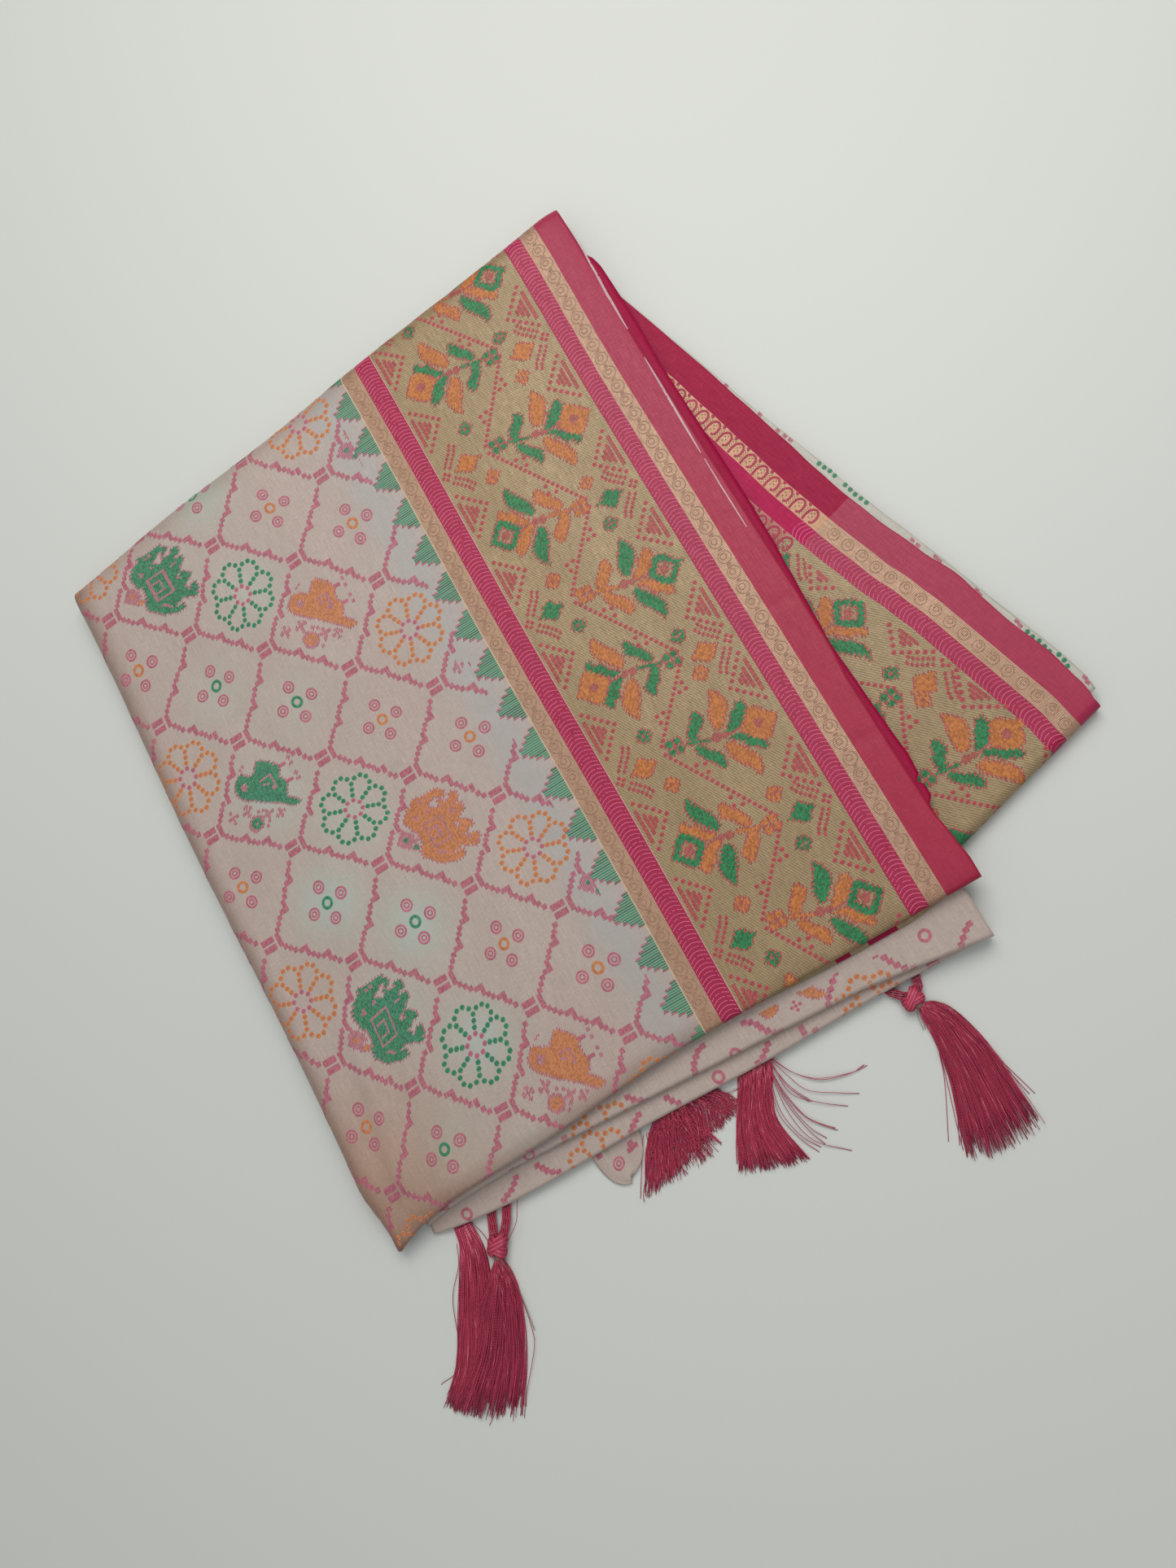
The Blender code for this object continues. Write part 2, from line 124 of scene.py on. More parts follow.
# Camera, table and light
def camera():
    """Stands where the photograph was taken from: a phone held over the table."""
    lens = bpy.data.cameras.new("camera")
    lens.sensor_fit = "VERTICAL"
    lens.sensor_height = 36.0
    lens.lens = 26.0
    lens.clip_start = 0.01
    lens.clip_end = 20.0
    right = Vector((0.83913626, -0.48772320, -0.24078292))
    down = Vector((-0.52101502, -0.84786274, -0.09834697))
    ahead = Vector((-0.15618476, 0.20797803, -0.96558348))
    eye = bpy.data.objects.new("camera", lens)
    turn = Matrix((right, -down, -ahead)).transposed().to_4x4()
    eye.matrix_world = Matrix.Translation((0.126571, -0.190393, 0.612074)) @ turn
    bpy.context.scene.collection.objects.link(eye)
    bpy.context.scene.camera = eye


def linear(hex_colour):
    """An sRGB hex colour as linear red, green, blue and alpha."""
    parts = []
    for k in (0, 2, 4):
        share = int(hex_colour[k:k + 2], 16) / 255.0
        parts.append(share / 12.92 if share <= 0.04045 else ((share + 0.055) / 1.055) ** 2.4)
    return (*parts, 1.0)


def new_material(name):
    made = bpy.data.materials.new(name)
    made.use_nodes = True
    tree = made.node_tree
    return made, tree, tree.nodes["Principled BSDF"]


def closed(points):
    """Each point with the next one, and the last with the first."""
    return zip(points, points[1:] + points[:1])


def add(tree, kind, **values):
    """Adds a node with its settings and links, or gives them to one that is there already.

    A name in lower case is a setting. Any other name is an input, with its spaces as
    underscores, and in_N is input N. A socket as the value is linked.
    """
    node = tree.nodes.new("ShaderNode" + kind) if isinstance(kind, str) else kind
    for name, value in values.items():
        if name.startswith("in_"):
            socket = node.inputs[int(name[3:])]
        elif name.islower():
            setattr(node, name, value)
            continue
        else:
            socket = node.inputs[name.replace("_", " ")]
        if isinstance(value, bpy.types.NodeSocket):
            tree.links.new(value, socket)
        else:
            socket.default_value = value
    return node


def light(name, place, aim, size, power, colour):
    lamp = bpy.data.lights.new(name, "AREA")
    lamp.shape = "RECTANGLE"
    lamp.size, lamp.size_y = size
    lamp.energy = power
    lamp.color = linear(colour)[:3]
    holder = bpy.data.objects.new(name, lamp)
    holder.location = place
    holder.rotation_euler = (Vector(aim) - Vector(place)).to_track_quat("-Z", "Y").to_euler()
    bpy.context.scene.collection.objects.link(holder)


def studio():
    """A pale matt table under one large soft light at its far side."""
    bpy.ops.object.select_all(action="DESELECT")
    bpy.ops.mesh.primitive_plane_add(size=6.0, location=(0.0, 0.0, 0.0))
    table = bpy.context.object
    table.name = "table"
    # Pale matt laminate
    made, tree, surface = new_material("pale_matt_laminate")
    add(tree, surface, Base_Color=linear("C7CAC6"), Roughness=0.55)
    table.data.materials.append(made)
    light("soft_overhead", (0.42, 0.62, 1.20), (0.02, 0.0, 0.0), (1.2, 0.9), 16.2, "FFFCF8")
    light("soft_fill", (-0.25, -0.65, 1.2), (0.0, 0.0, 0.0), (1.2, 1.2), 3.0, "F6F8FF")
    world = bpy.data.worlds.new("room")
    world.use_nodes = True
    tree = world.node_tree
    add(tree, tree.nodes["Background"], Color=linear("F2F4F2"), Strength=0.38)
    bpy.context.scene.world = world
    bpy.context.scene.view_settings.view_transform = "Standard"


# Cloth in general: a grid of points with a place for every thread
class Cloth:
    """A sheet whose points are known at stations (u, v) and between them."""

    def __init__(self, name, us, vs, place, fabric, param):
        self.name = name
        self.us = us
        self.vs = vs
        self.param = param
        self.points = [[place(u, v) for v in vs] for u in us]
        self.coords = [[fabric(u, v) for v in vs] for u in us]

    def at(self, x, y):
        """The surface point and outward normal at a place in the fabric."""
        u, v = self.param(x, y)
        i = clamp(bisect_right(self.us, u) - 1, 0, len(self.us) - 2)
        j = clamp(bisect_right(self.vs, v) - 1, 0, len(self.vs) - 2)
        a = (u - self.us[i]) / (self.us[i + 1] - self.us[i])
        b = (v - self.vs[j]) / (self.vs[j + 1] - self.vs[j])
        (p00, p01), (p10, p11) = (column[j:j + 2] for column in self.points[i:i + 2])
        low = p00 + (p10 - p00) * a
        high = p01 + (p11 - p01) * a
        along_u = (p10 - p00) * (1.0 - b) + (p11 - p01) * b
        normal = along_u.cross(high - low)
        return low + (high - low) * b, normal.normalized()

    def build(self, materials, pick=None, tints=None):
        """The sheet as an object whose UV map is its fabric coordinates, in metres.

        pick gives a material's number and tints named numbers, both from a place in
        the fabric.
        """
        rows = len(self.vs)
        verts = [point for column in self.points for point in column]
        coords = [coord for column in self.coords for coord in column]
        faces = [tuple(i * rows + j + k for k in (0, rows, rows + 1, 1))
                 for i in range(len(self.us) - 1) for j in range(rows - 1)]
        kinds = pick and [pick(*(sum(coords[k][axis] for k in face) / 4.0 for axis in (0, 1)))
                          for face in faces]
        numbers = {}
        if tints:
            found = [tints(*coord) for coord in coords]
            numbers = {key: [tint[key] for tint in found] for key in found[0]}
        obj = mesh_object(self.name, verts, faces, materials, kinds, coords, numbers)
        wall = obj.modifiers.new("wall", "SOLIDIFY")
        wall.thickness = SILK
        wall.offset = -1.0
        wall.use_quality_normals = True
        return obj

    def cut(self):
        """The width, length and area of the cloth laid flat, in metres."""
        xs, ys = zip(*(coord for column in self.coords for coord in column))
        area = 0.0
        for left, right in zip(self.coords, self.coords[1:]):
            for j in range(len(self.vs) - 1):
                for (x0, y0), (x1, y1) in closed((left[j], right[j], right[j + 1], left[j + 1])):
                    area += (x0 * y1 - x1 * y0) / 2.0
        return (max(xs) - min(xs), max(ys) - min(ys)), abs(area)


def along_table(table, length):
    """The value at a length in metres, eased between (length, value) pairs in mm."""
    at = MM * length
    for (start, low), (end, high) in zip(table, table[1:]):
        if at <= end:
            return (low + (high - low) * ease(at, start, end)) / MM
    return table[-1][1] / MM


def fold_down(radius, turn, tail, share):
    """How far out and how far down a fold is at a share of its way round."""
    angle = turn * min(share / ROLL_SHARE, 1.0)
    out = radius * sin(angle)
    down = radius * (1.0 - cos(angle))
    rest = tail * max(share - ROLL_SHARE, 0.0) / (1.0 - ROLL_SHARE)
    return out + rest * cos(angle), down + rest * sin(angle)


def fold_arc(radius, tail, share):
    """How much cloth has gone round a fold at a share of its way."""
    arc = pi * radius * min(share / ROLL_SHARE, 1.0)
    return arc + tail * max(share - ROLL_SHARE, 0.0) / (1.0 - ROLL_SHARE)


def fold_share(radius, tail, arc):
    """The share of a fold's way at which so much cloth has gone round."""
    roll = pi * radius
    if arc <= roll:
        return ROLL_SHARE * arc / roll
    return min(ROLL_SHARE + (1.0 - ROLL_SHARE) * (arc - roll) / tail, 1.0)


def marks_height(marks, x, y):
    """Soft creases placed one by one: (x, y) at both ends, half width and height, in mm."""
    total = 0.0
    for x0, y0, x1, y1, width, height in marks:
        dx, dy = x1 - x0, y1 - y0
        length = hypot(dx, dy)
        px, py = MM * x - x0, MM * y - y0
        along = (px * dx + py * dy) / length
        off = (px * dy - py * dx) / length / width
        if abs(off) < 3.0 and -width < along < length + width:
            fade = ease(along, -width, 0.22 * length) * ease(along, length + width, 0.78 * length)
            total += height * exp(-off * off) * fade
    return total / MM


# Top panel
PANEL_START = LEFT_FOLD_X + STACK / 2.0
BAND_LEAN = 0.008
# Where the bands change, in the fabric: body, cream line, zari, magenta, pale line, gold,
# magenta, zari and the outer pink
BAND_LINES = (0.0207, 0.0213, 0.0315, 0.0428, 0.0433, 0.1408, 0.1512, 0.1612)

PANEL_MARKS = (
    # From the near left corner up the panel, beside the left fold
    (-182, -226, -162, -110, 6.0, -1.1),
    (-172, -214, -152, -84, 6.0, 1.0),
    (-160, -226, -140, -130, 4.6, -0.8),
    (-148, -228, -118, -150, 5.4, 0.7),
    (-130, -226, -96, -176, 4.6, -0.6),
    (-186, -190, -150, -176, 5.0, 0.5),
    (-70, -196, -34, -226, 6.0, 0.5),
    (-186, -150, -181, 40, 6.0, 0.35),
    (-178, 60, -184, 200, 8.0, -0.4),
    # Ripples where the body meets the stiffer border
    (8, 160, 30, 150, 3.6, -0.45),
    (4, 128, 26, 120, 4.0, 0.35),
    (-2, 84, 24, 77, 3.4, -0.40),
    (6, 40, 27, 36, 3.0, 0.30),
    (-8, 4, 22, -2, 4.0, -0.45),
    (2, -40, 26, -45, 3.2, 0.40),
    (-10, -78, 24, -86, 4.4, -0.50),
    (-2, -122, 25, -128, 3.4, 0.35),
    (4, -160, 28, -166, 3.0, -0.35),
    # Puckers in the magenta band, and the creases that cross the outer edge
    (30, -36, 47, -34, 1.6, -0.45),
    (31, 118, 46, 120, 2.0, 0.30),
    (161, 21, 178, 20, 1.8, -0.45),
    (160, -33, 178, -35, 2.2, -0.50),
    (161, 96, 178, 94, 2.6, 0.35),
    (160, -118, 176, -121, 2.4, -0.40),
    (100, -196, 160, -150, 7.0, 0.50),
    # Long slack waves over the body and the border
    (-120, 190, -60, 60, 14.0, 0.9),
    (-150, 150, -110, 20, 10.0, -0.7),
    (-60, 30, -90, -110, 11.0, -0.8),
    (-30, -60, -70, -190, 9.0, 0.8),
    (-4, -70, -30, -200, 6.0, -0.5),
    (-110, 10, -140, -100, 9.0, 0.6),
    (60, 200, 84, 40, 15.0, 0.5),
    (118, 120, 104, -60, 13.0, -0.45),
    (70, -40, 92, -170, 12.0, 0.5),
)


def left_fold_x(y):
    return LEFT_FOLD_X - 0.0010 * sin(22.0 * y + 0.9)


def far_fold_y(x):
    return FAR_FOLD_Y + FAR_FOLD_SLOPE * x + 0.0008 * sin(40.0 * x)


def near_fold_y(x):
    bow = 0.0080 * ease(x, 0.020, -0.110)
    corner = 0.0170 * exp(-(x - LEFT_FOLD_X) / 0.026)
    return NEAR_FOLD_Y - bow - corner


def corner_sink(x, y):
    """The near left corner lies lower, because fewer layers reach it."""
    return 0.0070 * ease(x, -0.130, -0.190) * ease(y, -0.188, -0.222)


def selvedge_droop(x):
    return 0.0014 * max(0.0, (x - 0.168) / 0.0115) ** 2


def top_height(x, y):
    relief = 0.0004 * (1.0 + sin(31.0 * x + 1.0) * sin(24.0 * y))
    base = STACK + relief * ease(abs(x), 0.175, 0.120)
    return base - corner_sink(x, y) - selvedge_droop(x)


# How far the selvedge wanders from its line, (y, shift), and where the pink layer under it ends
SELVEDGE_SWAY = (
    (-212, -0.2), (-196, 0.2), (-186, -1.0), (-166, -2.9), (-120, -2.9), (-92, -2.6), (-62, -0.6),
    (-30, 0.0), (125, 0.0), (150, 0.5), (170, 1.3), (190, 2.1), (215, 3.0)
)
SECOND_EDGE = (
    (-212, 177.0), (-165, 176.5), (-160, 180.0), (-152.5, 180.2), (-151.5, 176.8), (-150, 180.5),
    (-137, 181.4), (-120, 180.6), (-100, 179.8), (-66, 178.9), (-52, 179.8), (-40, 180.6),
    (-20, 181.8), (0, 183.2), (30, 184.0), (110, 184.0), (160, 185.9), (190, 185.9), (197, 185.0),
    (201, 182.4), (210, 181.0)
)


def selvedge_sway(x, y):
    return along_table(SELVEDGE_SWAY, y) * ease(x, 0.100 if y > 0.0 else 0.162, SELVEDGE_X)


def panel_limits(x):
    return near_fold_y(x) + NEAR_FOLD_RADIUS, far_fold_y(x) - STACK / 2.0


def band_lean(column):
    """How far a column leans with the bands, per unit of y: not at the fold and selvedge."""
    return BAND_LEAN * ease(column, PANEL_START, 0.0) * ease(column, 0.1775, 0.1680)


def panel_shares(u, v):
    """How far across and along the flat of the panel (u, v) is."""
    return (clamp(u, -1.0) + 1.0) / 2.0, (clamp(v, -1.0) + 1.0) / 2.0


def panel_place(across, along):
    column = PANEL_START + across * (SELVEDGE_X - PANEL_START)
    low_y, high_y = panel_limits(column)
    x = column + band_lean(column) * (low_y + along * (high_y - low_y))
    low_y, high_y = panel_limits(x)
    return x, low_y + along * (high_y - low_y)


def column_u(column):
    return -1.0 + 2.0 * (column - PANEL_START) / (SELVEDGE_X - PANEL_START)


def panel_point(u, v):
    """u is -1 at the left fold and +1 at the selvedge, v -1 and +1 at the near
    and far folds, and past them the cloth runs round the folds."""
    over_u = max(-1.0 - u, 0.0)
    over_v = max(abs(v) - 1.0, 0.0)
    far = v > 0.0
    across, along = panel_shares(u, v)
    x, y = panel_place(across, along)
    low_y, high_y = panel_limits(x)
    x += (left_fold_x(y) - LEFT_FOLD_X) * (1.0 - across) + selvedge_sway(x, y)
    height = top_height(x, y)
    creases = marks_height(PANEL_MARKS, x, y)
    if over_u == 0.0 and over_v == 0.0:
        return Vector((x, y, height + creases))
    share = max(over_u, over_v)
    swing = 0.5 * min(over_u, over_v) / share
    if over_v > over_u:
        swing = 1.0 - swing
    side_radius = height / 2.0
    end_radius = height / 2.0 if far else NEAR_FOLD_RADIUS
    end_tail = TAIL if far else NEAR_TAIL
    radius = side_radius + (end_radius - side_radius) * ease(swing, 0.0, 1.0)
    tail = TAIL + (end_tail - TAIL) * swing
    to_corner = x - PANEL_START if over_v > over_u else min(y - low_y, high_y - y)
    if over_u > 0.0 and over_v > 0.0:
        to_corner = 0.0
    free = ease(to_corner, 0.0, FREE_FROM_CORNER)
    turn = radians(CORNER_TURN + (180.0 - CORNER_TURN) * free)
    tail = CORNER_TAIL + (tail - CORNER_TAIL) * free
    out, down = fold_down(radius, turn, tail, share)
    side = max(cos(swing * pi / 2.0), 0.0) ** CORNER_POWER
    end = max(sin(swing * pi / 2.0), 0.0) ** CORNER_POWER
    if swing in (0.0, 1.0):
        side, end = 1.0 - swing, swing
    outward = out * end if far else -out * end
    lift = creases * max(0.0, 1.0 - 4.0 * share)
    return Vector((x - out * side, y + outward, max(height - down, 0.0) + lift))


def panel_fabric(u, v):
    """Fabric coordinates of (u, v): x from the middle along the weft, y along the warp."""
    x, y = panel_place(*panel_shares(u, v))
    if v < -1.0:
        y -= fold_arc(NEAR_FOLD_RADIUS, NEAR_TAIL, -1.0 - v)
    if v > 1.0:
        y += fold_arc(STACK / 2.0, TAIL, v - 1.0)
    if u < -1.0:
        x -= fold_arc(STACK / 2.0, TAIL, -1.0 - u)
    return x - BAND_LEAN * y, y


def panel_param(x, y):
    x += BAND_LEAN * y
    if x < PANEL_START:
        u = -1.0 - fold_share(STACK / 2.0, TAIL, PANEL_START - x)
        x = PANEL_START
    else:
        # The lean depends on the column, so the column is found in a few steps
        column = x
        for step in range(4):
            column = x - band_lean(column) * y
        u = column_u(column)
    low_y, high_y = panel_limits(x)
    if y < low_y:
        return u, -1.0 - fold_share(NEAR_FOLD_RADIUS, NEAR_TAIL, low_y - y)
    if y > high_y:
        return u, 1.0 + fold_share(STACK / 2.0, TAIL, y - high_y)
    return u, -1.0 + 2.0 * (y - low_y) / (high_y - low_y)


def top_panel():
    lines = [column_u(line) for line in BAND_LINES] + [1.0]
    bands = [(low, high, parts) for low, high, parts in zip(lines, lines[1:], (1, 5, 6, 1, 34, 5, 5, 12))]
    us = spread((-2.0, -1.0 - ROLL_SHARE, 4), (-1.0 - ROLL_SHARE, -1.0, 16), (-1.0, lines[0], 68), *bands)
    vs = spread((-2.0, -1.0 - ROLL_SHARE, 3), (-1.0 - ROLL_SHARE, -1.0, 12), (-1.0, 1.0, 148),
                (1.0, 1.0 + ROLL_SHARE, 16), (1.0 + ROLL_SHARE, 2.0, 4))
    return Cloth("top_panel_silk", us, vs, panel_point, panel_fabric, panel_param)


# The layer under it, whose pink edge shows beside the selvedge
def second_panel():
    left = LEFT_FOLD_X + 0.013
    near = -0.184

    def far(x):
        return far_fold_y(x) - 0.0135

    def place(u, v):
        y = near + v * (far(u) - 0.016 * ease(u, 0.1700, SECOND_X) - near)
        edge = (along_table(SECOND_EDGE, y) - SECOND_X) * ease(u, 0.168, SECOND_X)
        return Vector((u + edge, y, SECOND_TOP - selvedge_droop(u + edge)))

    def fabric(u, v):
        return u, near + v * (far(u) - near)

    def param(x, y):
        return x, (y - near) / (far(x) - near)

    us = spread((left, 0.150, 30), (0.150, SECOND_X, 16))
    return Cloth("second_panel_silk", us, spread((0.0, 1.0, 120)), place, fabric, param)


# The next fold of the border, a sliver under the near fold
def turned_edge():
    back = -0.190

    def edge(x):
        shown = 0.0030 * ease(x, 0.020, 0.110) * ease(x, 0.170, 0.135)
        return near_fold_y(x) + 0.0006 - shown

    def place(u, v):
        return Vector((-u, back + v * (edge(-u) - back), TURNED_TOP))

    def fabric(u, v):
        return -u, (1.0 - v) * (back - edge(-u))

    def param(x, y):
        return -x, 1.0 - y / (back - edge(x))

    return Cloth("turned_edge_silk", spread((-0.166, -0.020, 70)), spread((0.0, 1.0, 10)), place,
                 fabric, param)


# Near folds
def upper_strip_y(x):
    opening = 0.040 * max(x + 0.105, 0.0) + 0.080 * max(x - 0.100, 0.0)
    corner = 0.0050 * exp(-(x - STRIP_LEFT_X) / 0.020)
    return -0.2195 - opening - corner


def lower_strip_y(x):
    return -0.2350 + 0.0045 * exp(-(x - STRIP_LEFT_X) / 0.020) - 0.0006 * sin(45.0 * x)


def near_strip(name, edge, sizes):
    """A fold of the body that runs out past the top panel and back under."""
    top, base, base_power = sizes
    tail = 0.0065
    back = -0.1905

    def shape(x):
        squeeze = 1.0 - 0.55 * ease(x, -0.130, -0.190)
        height = top * squeeze
        radius = (height - base * squeeze ** base_power) / 2.0
        return height, radius, edge(x) + radius

    def place(u, v):
        height, radius, start = shape(-u)
        if v <= 0.0:
            return Vector((-u, start - v * (back - start), height))
        out, down = fold_down(radius, pi, tail, v)
        return Vector((-u, start - out, height - down))

    def fabric(u, v):
        height, radius, start = shape(-u)
        return -u, -v * (back - start) if v <= 0.0 else -fold_arc(radius, tail, v)

    def param(x, y):
        height, radius, start = shape(x)
        return -x, -y / (back - start) if y >= 0.0 else fold_share(radius, tail, -y)

    us = spread((-STRIP_RIGHT_X, -STRIP_LEFT_X, 150))
    vs = spread((-1.0, 0.0, 12), (0.0, ROLL_SHARE, 14), (ROLL_SHARE, 1.0, 3))
    return Cloth(name, us, vs, place, fabric, param)


# Fanned packet
FAN_START = FAN_TOP / 2.0 - 0.0015
# Gold to magenta, magenta to zari and zari to the outer pink, and where the pallu begins
FAN_BANDS = (-0.0196, -0.0098, 0.0)
FAN_WAVE = (
    (0, -15.0), (20, -13.2), (90, -13.4), (110, -14.5), (130, -16.5), (165, -17.8), (200, -18.0),
    (230, -16.7), (260, -15.5), (290, -14.4), (330, -13.5), (420, -13.0),
)
PALLU_START = 0.1666
MOTTLED_LATER = 0.0100


def fan_wave(length):
    """Where zari meets the outer pink, pulled in and out along the fan."""
    return along_table(FAN_WAVE, length)


def fan_point(w, length, height):
    return FAN_CORNER + FAN_WEFT * w + FAN_WARP * length + Vector((0.0, 0.0, height))


def fan_inner(length):
    return (FAN_INNER_X - FAN_CORNER.x - FAN_WARP.x * length) / FAN_WEFT.x


FAN_EDGE = (
    (-20, -7.0), (0, -4.6), (4, -1.2), (9, 0.6), (14, 1.2), (36, 2.8), (62, 1.5), (78, 2.0), (95, 3.0),
    (120, 0.0), (150, -2.2), (172, -2.8), (192, -2.3), (215, -1.1), (250, 0.0), (280, 1.0), (330, 1.4),
    (420, 1.4),
)
FAN_UNDER_EDGE = (
    (0, 2.4), (16, 5.8), (32, 6.4), (52, 6.0), (80, 5.2), (100, 4.8), (130, 4.0), (150, 3.0), (170, 2.5),
    (190, 2.9), (215, 2.3), (240, 1.7), (280, 2.2), (420, 2.6),
)


def fan_droop(w):
    return 0.0010 * max(0.0, (w + 0.006) / 0.010) ** 2


def fan_lines(length):
    """Where the bands change across the fan at a length, from its inner edge to its selvedge."""
    inner = fan_inner(length)
    lines = [fan_wave(length) + band for band in FAN_BANDS] + [along_table(FAN_EDGE, length)]
    return [inner] + [max(line, inner + NARROWEST_BAND * k) for k, line in enumerate(lines, 1)]


def fan_panel():
    radius = FAN_TOP / 2.0
    shares = (0.0, 0.80, 0.84, 0.88, 1.0)

    def across(u, length):
        lines = fan_lines(length)
        for low, high, start, end in zip(shares, shares[1:], lines, lines[1:]):
            if u <= high:
                return start + (end - start) * (u - low) / (high - low)
        return lines[-1]

    def place(u, v):
        length = FAN_START + max(v, 0.0)
        out, down = fold_down(radius, pi, FAN_TAIL, max(-v, 0.0))
        w = across(u, length)
        droop = fan_droop(w) * ease(v, 0.0, 0.03)
        return fan_point(w, length - out, FAN_TOP - droop - down)

    def fabric(u, v):
        length = FAN_START + max(v, 0.0)
        w = across(u, length)
        if v < 0.0:
            length -= fold_arc(radius, FAN_TAIL, -v)
        return w, length

    def param(x, y):
        v = y - FAN_START if y >= FAN_START else -fold_share(radius, FAN_TAIL, FAN_START - y)
        lines = fan_lines(FAN_START + max(v, 0.0))
        for low, high, start, end in zip(shares, shares[1:], lines, lines[1:]):
            if x <= end:
                break
        return low + (high - low) * (x - start) / (end - start), v

    change = PALLU_START - FAN_START
    us = spread((0.0, 0.80, 34), (0.80, 0.84, 4), (0.84, 0.88, 4), (0.88, 0.96, 4), (0.96, 1.0, 8))
    vs = spread((-1.0, -ROLL_SHARE, 3), (-ROLL_SHARE, 0.0, 14), (0.0, change, 50),
                (change, change + MOTTLED_LATER, 4), (change + MOTTLED_LATER, FAN_LENGTH, 68))
    return Cloth("fan_panel_silk", us, vs, place, fabric, param)


def fan_under_panel():
    def width(length):
        return along_table(FAN_UNDER_EDGE, length) - fan_inner(length)

    def fabric(u, v):
        return fan_inner(v) + u * width(v), v

    def place(u, v):
        w, length = fabric(u, v)
        return fan_point(w, length, FAN_UNDER_TOP - fan_droop(w))

    def param(x, y):
        return (x - fan_inner(y)) / width(y), y

    us = spread((0.0, 0.85, 20), (0.85, 1.0, 10))
    vs = spread((0.0065, FAN_UNDER_LENGTH, 110))
    return Cloth("fan_under_silk", us, vs, place, fabric, param)


def corner_flap():
    length = 0.0433

    def half(v):
        return 0.0150 * max(1.0 - v ** 5, 0.0) ** 0.55 + 0.0006

    def place(u, v):
        middle = Vector((-0.0550, -0.2120, 0.0)).lerp(Vector((-0.0582, -0.2545, 0.0)), v)
        lift = 0.0011 * ease(v, 0.75, 0.45) + 0.0007 * ease(v, 0.80, 1.0)
        lift += 0.0003 * sin(5.0 * u + 7.0 * v)
        return middle + Vector((-half(v) * u, -0.0020 * u * v, CLOTH + lift + CLEAR))

    def fabric(u, v):
        return u * half(v), v * length

    def param(x, y):
        v = min(y / length, 1.0)
        return x / half(v), v

    return Cloth("corner_flap_silk", spread((-1.0, 1.0, 20)), spread((0.0, 0.8, 16), (0.8, 1.0, 14)),
                 place, fabric, param)


# Hidden layers
def reach(direction, sides):
    """How far a rounded polygon about the origin goes in one direction."""
    total = 0.0
    for normal_x, normal_y, distance in sides:
        facing = direction.x * normal_x + direction.y * normal_y
        total += (max(facing, 0.0) / distance) ** CORNER_SHARPNESS
    return total ** (-1.0 / CORNER_SHARPNESS)


def core_sides(height, groove):
    """Sides of the hidden layers at one height, each (normal x, normal y, distance)."""
    tucked = height < CLOTH + CLEAR
    middle = (height - STACK / 2.0) / 0.0084
    bulge = 0.0095 * sqrt(max(0.0, 1.0 - middle * middle))
    wrap = 0.0195 if tucked else 0.0115 - bulge
    left = -LEFT_FOLD_X - CLOTH - CLEAR - wrap
    far = FAR_FOLD_Y - 0.0012 - CLOTH - CLEAR - wrap
    lean = hypot(1.0, FAR_FOLD_SLOPE)
    sides = [(-1.0, 0.0, left),
             (-FAR_FOLD_SLOPE / lean, 1.0 / lean, far / lean),
             (0.0, -1.0, -CORE_NEAR_Y)]
    if height > LEDGE:
        return sides + [(1.0, 0.0, CORE_RIGHT_X - groove)]
    end_middle = (height - FAN_TOP / 2.0) / (FAN_TOP / 2.0 - CLOTH - CLEAR)
    end_inset = 0.0160 if tucked else 0.0090 - 0.0045 * sqrt(max(0.0, 1.0 - end_middle ** 2))
    return sides + [(FAN_WEFT.x, FAN_WEFT.y, FAN_CORNER.dot(FAN_WEFT) - 0.0035 - groove),
                    (-FAN_WARP.x, -FAN_WARP.y, -FAN_CORNER.dot(FAN_WARP) - end_inset)]


def core_levels():
    """Heights of the rings: each layer bulges between two grooves."""
    levels = [(0.0, 0.0), (0.0013, 0.0)]
    for base, top in ((0.0016, LEDGE), (LEDGE + 0.00005, CORE_TOP)):
        layers = round((top - base) / LAYER)
        levels.append((base, LAYER_GROOVE))
        for k in range(layers):
            low = base + (top - base) * k / layers
            high = base + (top - base) * (k + 1) / layers
            uneven = 0.0008 * sin(5.0 * k + 300.0 * base)
            for share in (0.06, 0.14, 0.26, 0.40, 0.55, 0.70, 0.83, 0.92):
                round_off = (1.0 - sin(pi * share) ** 0.5) * (LAYER_GROOVE - uneven)
                levels.append((low + share * (high - low), uneven + round_off))
        levels.append((top, LAYER_GROOVE))
    return levels


def core_direction(k, count):
    """Directions that step evenly round a rectangle of the panel's shape."""
    width = SELVEDGE_X - LEFT_FOLD_X
    depth = FAR_FOLD_Y - NEAR_FOLD_Y
    way = 2.0 * (width + depth) * k / count
    corners = ((width / 2.0, -depth / 2.0), (width / 2.0, depth / 2.0),
               (-width / 2.0, depth / 2.0), (-width / 2.0, -depth / 2.0))
    for start, end in closed(corners):
        length = dist(start, end)
        if way <= length:
            break
        way -= length
    return Vector(start).lerp(Vector(end), way / length).normalized()


